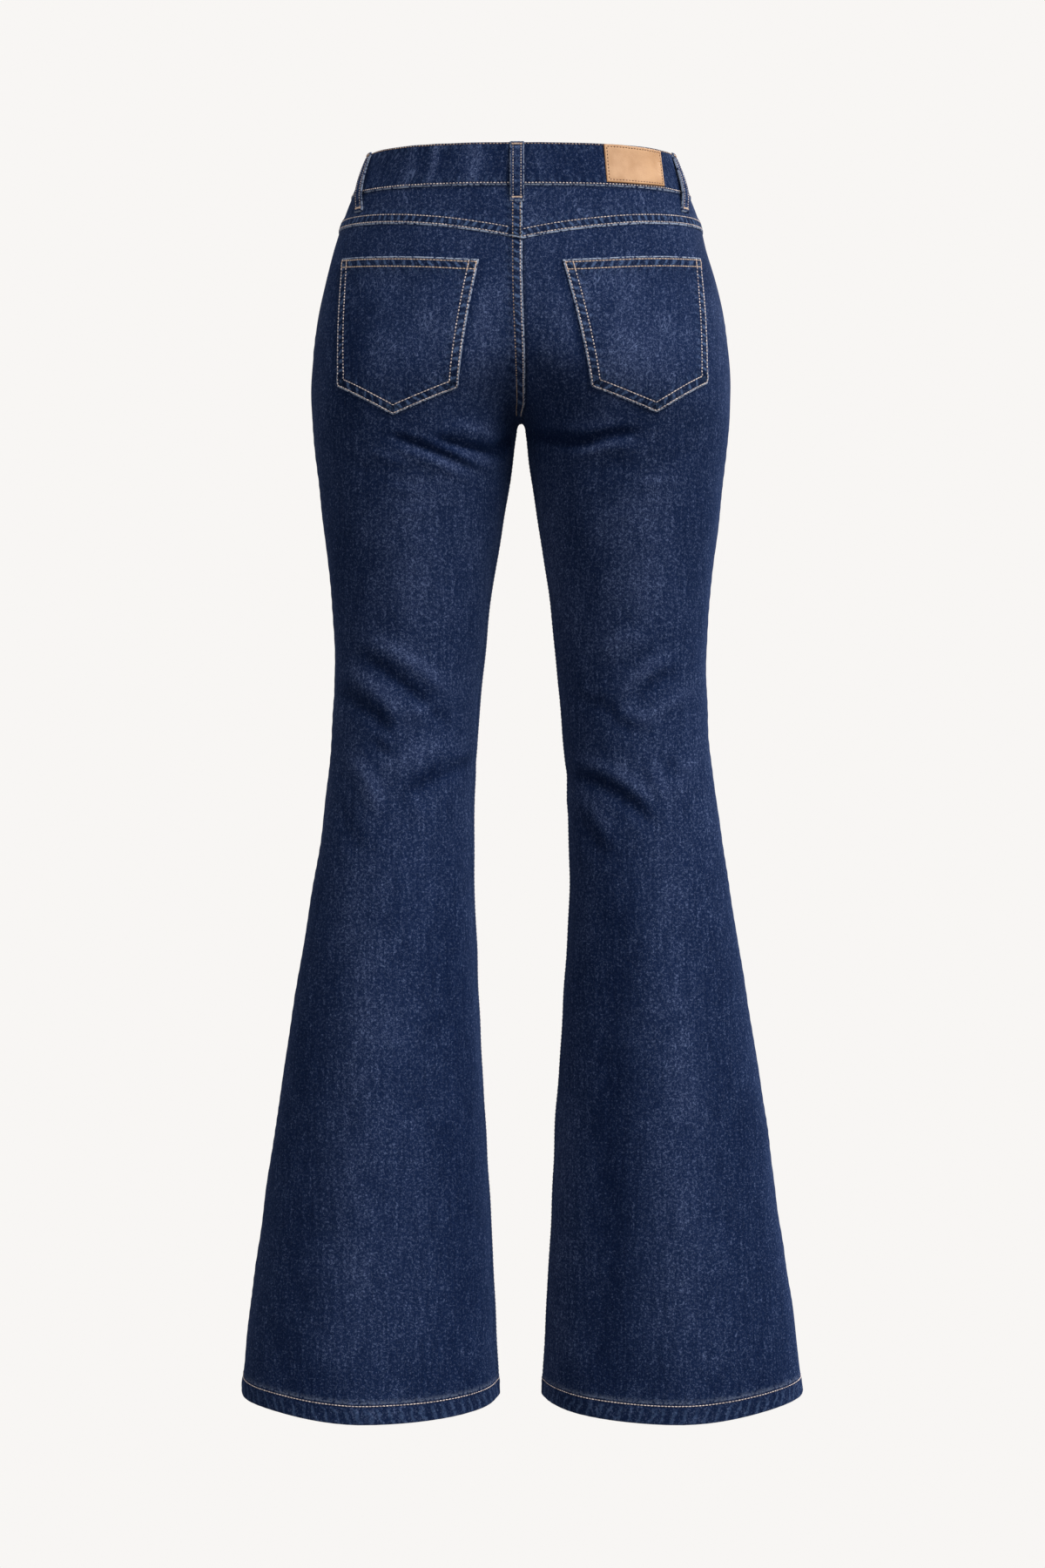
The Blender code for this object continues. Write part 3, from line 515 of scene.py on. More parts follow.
def felled(offset, run, rows=LAP_ROWS, width=LAP_WIDTH, raised=LAP_LIFT):
    """Lift and marks of a felled strip, by the distance from its edge and the distance along it."""
    wave = pucker(run + offset * 0.25)
    near, far = rows
    between = smooth_step(offset, near - 0.2, near + 1.2) * (1 - smooth_step(offset, far - 1.0, far + 0.4))
    strip = raised * (1 - smooth_step(offset, far + 0.8, width + 2.0))
    rolled = -0.5 * dent(offset, 0.5)
    grooves = dent(offset - near, 0.6) + dent(offset - far, 0.6)
    beside = dent(offset - far - 3.0, 3.0)
    lift = strip + rolled - 0.32 * grooves + PUCKER_LIFT * wave * (between + 0.4 * beside)
    fray = 1 - smooth_step(offset, 0.6, 1.9)
    return lift, marks_of(offset, rub=0.12 * wave * beside, fray=fray, groove=0.9 * grooves,
                          ladder=between + 0.35 * beside, run=run + 0.5 * offset)


PANEL_TOP_LEVEL = -72.0
TOP_SHAPE_ENDS = -200.0
HEM_SHAPE_STARTS = -960.0
HEM_BAND = 14.0
HEM_WALL = 2.4
HEM_LIFT = 0.5
HEM_DROP_BACK = 13.5
HEM_RISE_FRONT = 4.0
HEM_RISE_SIDE = 5.0
HEM_SIDE_START, HEM_SIDE_END = 0.5, 0.8
YOKE_SIDE_HEIGHT = -68.0
YOKE_DROP = 21.0
YOKE_CURVE = 2.4
YOKE_COVERS = 7.0        # how far the panel's top edge runs up under the yoke

# Rows of a panel as runs of levels: from, down to, how many, and above 1 where they stand closer at the lower end.
LEVEL_RUNS = (
    (PANEL_TOP_LEVEL, TOP_SHAPE_ENDS, 76, 1.0),
    (TOP_SHAPE_ENDS, CROTCH_HEIGHT, 22, 2.0),
    (CROTCH_HEIGHT, -262, 20, 0.5),
    (-262, -290, 16, 1.0),
    (-290, -400, 43, 1.0),
    (-400, -600, 96, 1.0),
    (-600, HEM_HEIGHT + HEM_BAND + 3, 176, 1.0),
    (HEM_HEIGHT + HEM_BAND + 3, HEM_HEIGHT, 18, 1.0),
)
INNER_STRIP = (0, 0.5, 1.1, 1.7, 2.3, 3.2, 4.4, 5.6, 6.7, 7.4, 8.0, 8.6, 9.6, 11.0, 13.0)
SIDE_STRIP = (0, 0.6, 1.4, 2.6, 4.4, 6.6, 9.0)
MIDDLE_COLUMNS = {False: 62, True: 42}


def panel_levels():
    levels = [PANEL_TOP_LEVEL]
    for upper, lower, steps, crowd in LEVEL_RUNS:
        share = np.arange(1, steps + 1) / steps
        eased = 1 - (1 - share) ** crowd if crowd > 1 else share ** (1 / crowd)
        levels.extend(upper + (lower - upper) * eased)
    return np.array(levels)


def strips_across(near, middle, far):
    """Fixed millimetres and share of the rest at each column: a strip, even columns, and a strip at the other edge."""
    near, far = np.array(near), np.array(far)
    fixed = np.concatenate((near, np.full(middle - 1, near[-1]), near[-1] + far[-1] - far[::-1]))
    share = np.concatenate((np.zeros(len(near)), np.arange(1, middle) / middle, np.ones(len(far))))
    return fixed, share


def strip_place(strips, number, whole):
    """Millimetres from the first edge at grid lines of strips that span a whole width."""
    fixed, share = strips
    return fixed[number] + share[number] * (whole - fixed[-1])


LEVELS = panel_levels()
PANEL_ACROSS = {front: strips_across(INNER_STRIP, count, SIDE_STRIP) for front, count in MIDDLE_COLUMNS.items()}


def yoke_seam(share):
    return YOKE_SIDE_HEIGHT - YOKE_DROP * (1 - share) ** YOKE_CURVE


def hem_shape(front, share, level):
    """How far a level is moved near the hem, which hangs lowest behind and highest at the side seam."""
    fade = np.clip((HEM_SHAPE_STARTS - level) / (HEM_SHAPE_STARTS - HEM_HEIGHT), 0, 1)
    reach = HEM_RISE_FRONT if front else -HEM_DROP_BACK
    side_rise = HEM_RISE_SIDE * smooth_step(share, HEM_SIDE_START, HEM_SIDE_END)
    return (reach * np.sin(math.pi * share) + side_rise) * fade


def hem_relief(level, run):
    """Lift, wall and marks near the turned-up hem, whose band is roped by its stitches."""
    turned = smooth_step(HEM_HEIGHT + HEM_BAND + 1.5 - level, -1.0, 1.0)
    down = HEM_HEIGHT + HEM_BAND - level
    wave = pucker(run * 0.8 + down * 0.35)
    band = smooth_step(down, 1.0, 4.0)
    lift = HEM_LIFT * turned - 0.35 * dent(down, 0.8) + 0.28 * wave * band - 0.5 * dent(HEM_BAND - down, 1.0)
    marks = marks_of(run, rub=0.10 * band * dent(HEM_BAND - down, 1.5), fray=0.35 * dent(down + 2.4, 0.6),
                     groove=dent(down, 0.9), ladder=0.45 * band + 0.2 * dent(down + 5.0, 2.0),
                     run=run * 0.8 + down * 0.3)
    return lift, CLOTH_WALL + (HEM_WALL - CLOTH_WALL) * turned, marks


def inner_edge(front, side, height):
    """How much a panel's inner edge laps over its neighbour, from 0 to 1: left over right, and back over front."""
    over_other_side, over_front = float(side > 0), float(not front)
    return np.where(height > CROTCH_HEIGHT, over_other_side, over_front)


def side_seam(front, to_side, height):
    """Lift and marks beside the side seam: both edges roll in, and the allowance raises the back one."""
    wave = pucker(-height * 0.6 + 40.0)
    allowance = 0.0 if front else (0.42 + 0.16 * wave) * (1 - smooth_step(to_side, 6.5, 10.0))
    lift = allowance - 0.7 * dent(to_side, 0.9) + 0.12 * wave * dent(to_side - 2.0, 2.0)
    return lift, marks_of(height, rub=0.30 * dent(to_side - 2.2, 1.4) * (0.6 + 0.4 * wave), groove=dent(to_side, 0.8))


# How strongly the inside leg's felled strip shows against the seat's: its lift, and each of its marks.
INSEAM_LIFT = 0.7
INSEAM_MARKS = np.array((1.0, 0.3, 0.3, 0.3, 1.0))[:, None]


def panel_face(front, side, along, height, level):
    """Lift, wall and marks at places on a leg panel."""
    on_seat, laps = height > CROTCH_HEIGHT, inner_edge(front, side, height)
    near_crotch = smooth_step(np.abs(height - CROTCH_HEIGHT), 1.0, 14.0)
    strip, strip_marks = felled(along + lap_reach(front, side, height), -height)
    below_yoke = 1.0 if front else smooth_step(yoke_seam(0.0) - height, 0.5, 4.0)
    strength = laps * (0.25 + 0.75 * near_crotch) * below_yoke * np.where(on_seat, 1.0, INSEAM_LIFT)
    strip_marks = strip_marks * np.where(on_seat, 1.0, INSEAM_MARKS)
    seam_lift, seam_marks = side_seam(front, face_length(front, height) - along, height)
    hem_lift, wall, hem_marks = hem_relief(level, along)
    marks = with_marks(with_marks(hem_marks, seam_marks), strip_marks, strength)
    beside = along - lap_reach(front, -side, height)
    # painted shadow on the under panel just beside the edge that laps over it
    marks[MARKS.index("groove")] += 0.8 * (1 - laps) * dent(beside - 0.9, 1.7)
    return strip * strength + seam_lift + hem_lift, wall, marks


def place_in_panel(front, side, column, row):
    """Length from the inner seam, height and level at grid places of a leg panel."""
    level = LEVELS[row]
    whole = face_length(front, level)
    across = strip_place(PANEL_ACROSS[front], column, whole) / whole
    top_shape = np.clip((level - TOP_SHAPE_ENDS) / (PANEL_TOP_LEVEL - TOP_SHAPE_ENDS), 0, 1)
    if front:
        top_share, top = front_top_edge(across)
        across = across + (top_share - across) * top_shape
    else:
        top = yoke_seam(across) + YOKE_COVERS
    height = level + (top - PANEL_TOP_LEVEL) * top_shape + hem_shape(front, across, level)
    laps = inner_edge(front, side, height) * smooth_step(np.abs(height - CROTCH_HEIGHT), 1.0, 10.0)
    start = SEAM_GAP / 2 - (lap_reach(front, side, height) + SEAM_GAP / 2) * laps
    along = start + across * (face_length(front, height) - SEAM_GAP / 2 - start)
    return along, height, level


class Wire:
    """An output of a shader node. Sums, differences and products of wires and numbers are Math nodes."""

    def __init__(self, socket):
        self.socket, self.tree = socket, socket.id_data

    def math(self, operation, other=0.0, clamp=False):
        return wire(self.tree, "Math", {0: self, 1: other}, operation=operation, use_clamp=clamp)

    def __add__(self, other):
        return self.math("ADD", other)

    def __sub__(self, other):
        return self.math("SUBTRACT", other)

    def __rsub__(self, other):
        return wire(self.tree, "Math", {0: other, 1: self}, operation="SUBTRACT")

    def __mul__(self, other):
        return self.math("MULTIPLY", other)

    def clamped(self):
        return self.math("ADD", clamp=True)

    def rise(self, low, high, to_low=0.0, to_high=1.0):
        """A soft rise of this value from low to high."""
        return wire(self.tree, "MapRange", {0: self, 1: low, 2: high, 3: to_low, 4: to_high},
                    interpolation_type="SMOOTHSTEP")

    def ramp(self, first, last, *between):
        """This value's colour between stops, each a place and a colour."""
        made = wire(self.tree, "ValToRGB", {0: self})
        elements = made.socket.node.color_ramp.elements
        for element, (place, colour) in zip(elements, (first, last)):
            element.position, element.color = place, colour
        for place, colour in between:
            elements.new(place).color = colour
        return made

    def bump(self, distance, strength=1.0):
        return wire(self.tree, "Bump", {"Height": self, "Distance": distance, "Strength": strength})


def feed(node, inputs):
    """Gives each input of a node a value, or the output of another node."""
    for name, value in inputs.items():
        if isinstance(value, Wire):
            value.tree.links.new(value.socket, node.inputs[name])
        else:
            node.inputs[name].default_value = value


def wire(tree, kind, inputs=None, output=0, **settings):
    """An output of a new shader node with its settings and inputs."""
    made = tree.nodes.new("ShaderNode" + kind)
    for name, value in settings.items():
        setattr(made, name, value)
    feed(made, inputs or {})
    return Wire(made.outputs[output])


def mark_at(tree, name):
    return wire(tree, "Attribute", output="Fac", attribute_name=name)


def cloth_map(tree):
    return wire(tree, "UVMap", uv_map="cloth")


def blend(factor, first, second):
    return wire(factor.tree, "Mix", {0: factor, 6: first, 7: second}, 2, data_type="RGBA")


def noise(place, scale, stretch=(1, 1, 1), turn=0.0, detail=2.0, distortion=0.0, shift=0.0):
    """A noise pattern with so many cells a metre, stretched and turned on the cloth."""
    turned = wire(place.tree, "Mapping", {"Vector": place, "Rotation": (0, 0, turn)})
    squeezed = wire(place.tree, "Mapping", {"Vector": turned, "Scale": stretch, "Location": (shift, shift * 0.7, 0)})
    return plain_noise(squeezed, scale, detail, distortion)


def plain_noise(place, scale, detail, distortion=0.0):
    return wire(place.tree, "TexNoise", {"Vector": place, "Scale": scale, "Detail": detail, "Distortion": distortion},
                "Fac")


def diagonal_ribs(place, scale, **more):
    inputs = {"Vector": place, "Scale": scale, **{name.replace("_", " "): value for name, value in more.items()}}
    return wire(place.tree, "TexWave", inputs, "Fac", bands_direction="DIAGONAL")


def strokes(cloth, paleness, scale, stretch, turn, shift, wide):
    """Short, thin, wavering strokes: the contour lines of one noise, broken up by a second one, more in paler cloth."""
    line = (noise(cloth, scale, stretch, turn, 0.0, 1.5, shift) - 0.5).math("ABSOLUTE").rise(wide, wide * 0.25)
    broken = noise(cloth, scale * 1.25, (1, 1, 1), turn, 0.0, 0.0, shift + 3.1)
    return line * (paleness * 0.16 + broken).rise(0.53, 0.78)


def mixed(start, patterns):
    """A value with a share of each of some patterns, which go from 0 to 1."""
    for pattern, strength in patterns:
        start = (pattern - 0.5) * strength + start
    return start


def start_material(name):
    """A new material, its tree and its shader."""
    material = bpy.data.materials.new(name)
    material.use_nodes = True
    return material, material.node_tree, material.node_tree.nodes["Principled BSDF"]


INDIGO_DEEP = (0.0027, 0.0084, 0.0325, 1)
INDIGO = (0.0074, 0.0172, 0.0560, 1)
INDIGO_PALE = (0.0266, 0.0404, 0.1020, 1)
FLECK = (0.1240, 0.1670, 0.3050, 1)
FRAY = (0.3400, 0.4000, 0.5200, 1)
# The seams' dark colour is painted shade, darker than the deepest dye, for their grooves and the hollows between
# puckers.
SEAM_SHADE = (0.0022, 0.0050, 0.0150, 1)
SEAM_PALE = (0.0900, 0.1450, 0.2700, 1)


def denim(name):
    """Twill of indigo warp and pale weft: fine diagonal ribs, clouds of wear, pale scratches and frayed edges.

    It reads the piece's own map in metres, how pale it is painted (wear with painted light and shade), and its seams'
    marks.
    """
    material, tree, shader = start_material(name)
    cloth = cloth_map(tree)
    paleness, fray, groove, ladder, run = (mark_at(tree, mark) for mark in ("wear_and_shading", "fray", "groove", "ladder", "run"))
    ribs = diagonal_ribs(wire(tree, "Mapping", {"Vector": cloth, "Scale": (1, 0.62, 1)}), 560.0, Distortion=1.6,
                         Detail=1.0, Detail_Scale=0.4)
    clouds = noise(cloth, 26.0, (1, 0.7, 1), detail=4.0, distortion=0.6)
    mottle = noise(cloth, 120.0, (1, 0.7, 1), detail=3.0, distortion=0.8, shift=5.0)
    slubs = noise(cloth, 1.0, (420, 26, 1), detail=1.0, shift=1.7)
    grain = noise(cloth, 700.0, (1, 0.8, 1), detail=1.0, shift=2.3)
    cloudy = mixed(paleness, ((clouds, 0.4), (slubs, 0.7), (mottle, 0.45)))

    # pale marks: strokes that lean both ways, curls, specks, and scores above the back pockets
    scored = noise(cloth, 62.0, (1.5, 0.6, 1), -0.35, 1.0, 1.2, 8.8)
    scores = (scored - 0.5).math("ABSOLUTE").rise(0.012, 0.003)
    above_pockets = wire(tree, "SeparateXYZ", {0: cloth}, 1).rise(-0.130, -0.085) * clouds.rise(0.46, 0.60)
    marks = strokes(cloth, cloudy, 310.0, (1.3, 0.62, 1), 0.38, 0.0, 0.056)
    for more in (strokes(cloth, cloudy, 310.0, (1.3, 0.62, 1), -0.50, 7.3, 0.056),
                 strokes(cloth, cloudy, 460.0, (1.1, 0.85, 1), 0.1, 4.7, 0.075) * 0.85,
                 noise(cloth, 470.0, detail=0.0, shift=9.1).rise(0.70, 0.80),
                 scores * above_pockets):
        marks = marks.math("MAXIMUM", more)
    shade = mixed(paleness, ((clouds, 0.42), (mottle, 0.30), (slubs, 0.40), (grain, 0.60), (ribs, 0.10)))
    colour = shade.ramp((0.05, INDIGO_DEEP), (1.0, INDIGO_PALE), (0.45, INDIGO))
    colour = blend(marks * cloudy.rise(0.05, 0.95, 0.25, 0.95), colour, FLECK)

    # seams: painted shade in the hollows between a ladder's pale, rubbed rungs and in the grooves under the stitches,
    # and frayed edges
    rungs = (noise(cloth, 110.0, detail=1.0, shift=6.6) * 6.0 + run * 0.84).math("SINE").rise(0.0, 1.0)
    raised = (ladder * rungs).clamped()
    thread_ends = noise(cloth, 420.0, detail=1.0, shift=4.4).rise(0.36, 0.54)
    frayed = (fray * thread_ends).clamped()
    for factor, paint in (((ladder * (1.0 - rungs) * 0.38).clamped(), SEAM_SHADE),
                          (raised * thread_ends.rise(0.0, 1.0, 0.12, 0.58), SEAM_PALE),
                          ((groove * 0.75).clamped(), SEAM_SHADE), (frayed * 0.85, FRAY)):
        colour = blend(factor, colour, paint)

    height = ribs * 0.05
    for pattern, strength in ((grain, 0.20), (mottle, 0.50), (marks, 0.14), (groove, -0.25), (frayed, 0.25),
                              (raised, 0.45)):
        height = pattern * strength + height
    feed(shader, {"Base Color": colour, "Normal": height.bump(MM, 0.85), "Roughness": 0.90, "Specular IOR Level": 0.04,
                  "Sheen Weight": 0.10, "Sheen Roughness": 0.45, "Sheen Tint": (0.12, 0.30, 0.90, 1)})
    return material


def denim_inside():
    """The twill's wrong side, where the undyed weft shows."""
    material, tree, shader = start_material("denim_inside")
    cloth = cloth_map(tree)
    ribs = diagonal_ribs(cloth, 520.0, Distortion=1.5, Detail=1.0)
    tone = ribs * 0.35 + noise(cloth, 40.0, detail=4.0) * 0.8
    feed(shader, {"Base Color": tone.ramp((0.0, (0.050, 0.068, 0.115, 1)), (1.0, (0.190, 0.220, 0.280, 1))),
                  "Normal": ribs.bump(0.1 * MM), "Roughness": 0.92})
    return material


INSIDE = denim_inside()
DENIM = denim("denim")


def dress(piece, node=None):
    """Gives a piece its body and hides the solid that it stands for."""
    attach(piece, "root")
    if node:
        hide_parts(node)
    return piece


SHARP_ANGLE = math.radians(50)


def put_in_scene(name, data, materials=()):
    """A new object at the origin, linked to the scene."""
    for material in materials:
        data.materials.append(material)
    thing = bpy.data.objects.new(name, data)
    bpy.context.scene.collection.objects.link(thing)
    return thing


def mesh_of(name, build):
    mesh = bpy.data.meshes.new(name)
    build.to_mesh(mesh)
    build.free()
    return mesh


def add_piece(name, build, materials):
    """The closed body as a piece, smooth but for its sharp edges."""
    bmesh.ops.recalc_face_normals(build, faces=build.faces[:])
    if build.calc_volume(signed=True) < 0:
        bmesh.ops.reverse_faces(build, faces=build.faces[:])
    mesh = mesh_of(name, build)
    mesh.shade_smooth()
    mesh.set_sharp_from_angle(angle=SHARP_ANGLE)
    return put_in_scene(name, mesh, materials)


def set_point_values(mesh, name, values):
    mesh.attributes.new(name, "FLOAT", "POINT").data.foreach_set("value", np.asarray(values, np.float32))


def set_cloth_map(mesh, across, down):
    """The piece's own map, in metres of cloth."""
    corners = np.zeros(len(mesh.loops), np.int32)
    mesh.loops.foreach_get("vertex_index", corners)
    places = np.stack((across, down), axis=-1)[corners] * MM
    mesh.uv_layers.new(name="cloth").data.foreach_set("uv", places.astype(np.float32).ravel())


def cloth_shell(name, columns, rows, lay, outer, inner=None):
    """A grid of cloth with an outer and an inner side.

    lay(column, row) gives the outer points in metres, the walls in millimetres, the seams' marks, and the place on the
    flat cloth.
    """
    build = bmesh.new()
    bmesh.ops.create_grid(build, x_segments=columns - 1, y_segments=rows - 1, size=0.5)
    doubled = bmesh.ops.extrude_face_region(build, geom=build.faces[:], use_keep_orig=True)
    inner_side = {item for item in doubled["geom"] if isinstance(item, bmesh.types.BMVert)}
    is_inner = np.array([vertex in inner_side for vertex in build.verts])
    spots = np.array([vertex.co[:] for vertex in build.verts])
    column = np.rint((spots[:, 0] + 0.5) * (columns - 1)).astype(int)
    row = np.rint((0.5 - spots[:, 1]) * (rows - 1)).astype(int)
    points, wall, marks, across, down = lay(column, row)
    points = points - outward_in_metres(points) * (np.where(is_inner, wall, 0.0) * MM)[:, None]
    for vertex, point in zip(build.verts, points):
        vertex.co = point
    build.verts.index_update()
    for face in build.faces:
        face.material_index = int(all(is_inner[vertex.index] for vertex in face.verts))
    piece = add_piece(name, build, [outer, inner or INSIDE])
    set_point_values(piece.data, "wear_and_shading", wear_and_shading_at(points, marks[0]))
    for mark, values in zip(MARKS[1:], marks[1:]):
        set_point_values(piece.data, mark, values)
    set_cloth_map(piece.data, across, down)
    return piece


panel_faces = {False: panel_face}


def panel_shell(name, front, side):
    def lay(column, row):
        along, height, level = place_in_panel(front, side, column, row)
        lift, wall, marks = panel_faces[front](front, side, along, height, level)
        points = on_cloth(front, side, along, height, lift)
        return points, wall, marks, across_grain(front, side, along, height), height
    return cloth_shell(name, len(PANEL_ACROSS[front][0]), len(LEVELS), lay, DENIM)


def cut_of(front, top):
    """Greatest width and length of a panel's flat cut in metres, and its area."""
    widths = face_length(front, np.arange(HEM_HEIGHT, top))
    return (float(widths.max()) * MM, len(widths) * MM), float(widths.sum()) * MM * MM


def topstitch_material(name, bright, dim):
    """Twisted polyester thread, a little uneven in colour from stitch to stitch."""
    material, tree, shader = start_material(name)
    fibres = plain_noise(wire(tree, "TexCoord", output="Object"), 2600.0, 1.0)
    tone = ((fibres - 0.5) * 0.6 + mark_at(tree, "tone")).clamped()
    feed(shader, {"Base Color": blend(tone, dim, bright), "Normal": fibres.bump(0.15 * MM), "Roughness": 0.62,
                  "Sheen Weight": 0.15})
    return material


STITCH_PITCH = 2.9
STITCH_LENGTH = 2.05
STITCH_THICK = 1.12
STITCH_ARCH = 0.30
STITCH_SIDES, STITCH_RINGS = 6, 5
tone_draw = np.random.default_rng(5)


def stitch_form():
    """One stitch: a rounded bead of thread along X whose ends dip into the cloth."""
    build = bmesh.new()
    bmesh.ops.create_uvsphere(build, u_segments=STITCH_SIDES, v_segments=STITCH_RINGS, radius=0.5)
    points = np.array([(vertex.co.z, vertex.co.y, vertex.co.x) for vertex in build.verts])
    faces = [[vertex.index for vertex in reversed(face.verts)] for face in build.faces]
    build.free()
    return points, faces


STITCH_POINTS, STITCH_FACES = stitch_form()


def spaced(run, pitch):
    """Points evenly spaced along a run of points in metres, and the way that the run goes at each."""
    steps = np.linalg.norm(np.diff(run, axis=0), axis=1)
    reached = np.concatenate(([0.0], np.cumsum(steps)))
    count = max(int(reached[-1] / (pitch * MM)), 1)
    wanted = (np.arange(count) + 0.5) / count * reached[-1]
    behind_it, places, ahead = (np.stack([np.interp(wanted + shift * MM, reached, run[:, axis]) for axis in range(3)],
                                         axis=-1) for shift in (-0.4, 0.0, 0.4))
    way = ahead - behind_it
    return places, way / np.linalg.norm(way, axis=1)[:, None]


def sew(name, runs, material, pitch=STITCH_PITCH, length=STITCH_LENGTH, thick=STITCH_THICK, across=False):
    """Stitches laid end to end along runs of points in metres, joined into one piece. "across" turns each of them
    square to its run, as in a bar tack."""
    meshes = []
    for run in runs:
        places, way = spaced(np.asarray(run), pitch)
        out = outward_in_metres(places)
        aside = np.cross(out, way)
        aside /= np.linalg.norm(aside, axis=1)[:, None]
        out = np.cross(way, aside)
        if across:
            way, aside = aside, -way
        form = STITCH_POINTS * (length, thick, thick)
        rise = form[:, 2] + 0.22 * thick - STITCH_ARCH * (2 * STITCH_POINTS[:, 0]) ** 2
        meshes.append(places[:, None, :] + (way[:, None, :] * form[:, 0, None] + aside[:, None, :] * form[:, 1, None]
                                            + out[:, None, :] * rise[:, None]) * MM)
    stitches = np.concatenate(meshes)
    count = len(stitches)
    mesh = bpy.data.meshes.new(name)
    size = len(STITCH_POINTS)
    faces = [[corner + size * number for corner in face] for number in range(count) for face in STITCH_FACES]
    mesh.from_pydata(stitches.reshape(-1, 3).tolist(), [], faces)
    mesh.shade_smooth()
    set_point_values(mesh, "tone", np.repeat(tone_draw.beta(1.6, 1.0, count), size))
    return dress(put_in_scene(name, mesh, [material]))


THREAD_TAN = topstitch_material("thread_tan", (0.48, 0.34, 0.25, 1), (0.12, 0.08, 0.07, 1))
THREAD_PALE = topstitch_material("thread_pale", (0.82, 0.69, 0.65, 1), (0.30, 0.25, 0.26, 1))
THREAD_BLUE = topstitch_material("thread_blue", (0.060, 0.095, 0.180, 1), (0.020, 0.036, 0.080, 1))
THREAD_GOLD = topstitch_material("thread_gold", (0.74, 0.55, 0.42, 1), (0.38, 0.26, 0.20, 1))


def panel_run(front, side, along, height, level=None):
    """Points on a panel's face, at lengths from the inner seam and heights."""
    along, height = np.broadcast_arrays(np.asarray(along, dtype=float), np.asarray(height, dtype=float))
    lift = panel_faces[front](front, side, along, height, height if level is None else level)[0]
    return on_cloth(front, side, along, height, lift)


def hem_run(front, side):
    """The hem's row of stitches on one panel, from the inside leg to the side seam."""
    share = np.linspace(0, 1, 300)
    level = np.full(share.shape, HEM_HEIGHT + HEM_BAND)
    height = level + hem_shape(front, share, level)
    return panel_run(front, side, share * face_length(front, height), height, level)


for hand, side in HANDS.items():
    panel = dress(panel_shell("denim_back_" + hand, False, side), "back_panel_" + hand)

seat_heights = np.arange(yoke_seam(0.0) - 1.0, CROTCH_HEIGHT + 3.0, -0.5)
for name, row, thread in (("edge", LAP_ROWS[0], THREAD_PALE), ("inner", LAP_ROWS[1], THREAD_TAN)):
    sew("stitches_centre_back_" + name,
        [panel_run(False, 1.0, row - lap_reach(False, 1.0, seat_heights), seat_heights)], thread, thick=0.95)
inseam_heights = np.arange(CROTCH_HEIGHT - 6.0, HEM_HEIGHT + HEM_BAND, -0.5)
for hand, side in HANDS.items():
    sew("stitches_inseam_" + hand,
        [panel_run(False, side, row - LAP_REACH, inseam_heights) for row in LAP_ROWS], THREAD_BLUE, pitch=3.4,
        thick=0.7)

# ---------------------------------------------------------------------------------------------------------------------
# Front panels. One piece of the same twill for the front of each leg, from the waistband and the curved pocket
# opening down to the hem. The left one is felled over the right one from the fly to the crotch.
WAIST_SIDE_HEIGHT = -2.6
WAIST_DROP_BACK = 2.9
WAIST_DROP_FRONT = 25.0
BAND_HEIGHT = 37.6
TUCK = 1.6               # how far what hangs from the waistband reaches up between its two layers
FRONT_POCKET_FROM_MIDDLE = 95.0
FRONT_POCKET_DEPTH = 76.0
POCKET_COLUMN = 5 / 12
FRONT_WAIST_LENGTH = float(face_length(True, -40.0))
FRONT_TOP_LENGTH = float(face_length(True, -70.0))
OPENING_ROWS = (1.8, 7.6)


def waist_edge(front, share):
    """Height of the waistband's top edge, at a share of the way from the centre seam to the side seam."""
    drop = np.where(front, WAIST_DROP_FRONT, WAIST_DROP_BACK)
    return WAIST_SIDE_HEIGHT - drop * np.cos(math.pi / 2 * share) ** 2


def band_foot(front, share):
    return waist_edge(front, share) - BAND_HEIGHT


def front_top_edge(across):
    """The front panel's top edge: under the waistband, then down round the pocket opening to the side seam."""
    opening = FRONT_POCKET_FROM_MIDDLE / FRONT_TOP_LENGTH
    turn = np.clip((across - POCKET_COLUMN) / (1 - POCKET_COLUMN), 0, 1) * math.pi / 2
    beside_band = np.clip(across / POCKET_COLUMN, 0, 1) * opening
    share = beside_band + (1 - opening) * (1 - np.cos(turn))
    foot = band_foot(True, np.minimum(share, opening)) + TUCK * (1 - smooth_step(turn, 0.0, 0.12))
    return share, foot - FRONT_POCKET_DEPTH * np.sin(turn)


FLY_DEPTH = 92.0
FLY_WIDTH = 36.0
FLY_FOOT = float(band_foot(True, 0.0)) - FLY_DEPTH + 4.0
FLY_ROWS = (0.0, 6.3)


def fly_row_offset(along, height, row):
    """How far places are outside one row of the fly's stitches: straight down, then a quarter round to the seam."""
    radius = FLY_WIDTH - row
    down = np.minimum(height - (FLY_FOOT + FLY_WIDTH), 0.0)
    return np.hypot(np.maximum(along, 0.0), down) - radius


OPENING_SHARES, OPENING_HEIGHTS = front_top_edge(np.linspace(POCKET_COLUMN, 1.0, 90))
OPENING_ALONG = OPENING_SHARES * face_length(True, OPENING_HEIGHTS)


def from_opening(along, height):
    """How far places on the front are from the pocket opening's edge, and how far along that edge they are."""
    apart = np.hypot(along[:, None] - OPENING_ALONG, height[:, None] - OPENING_HEIGHTS)
    return apart.min(axis=1), apart.argmin(axis=1) * 1.4


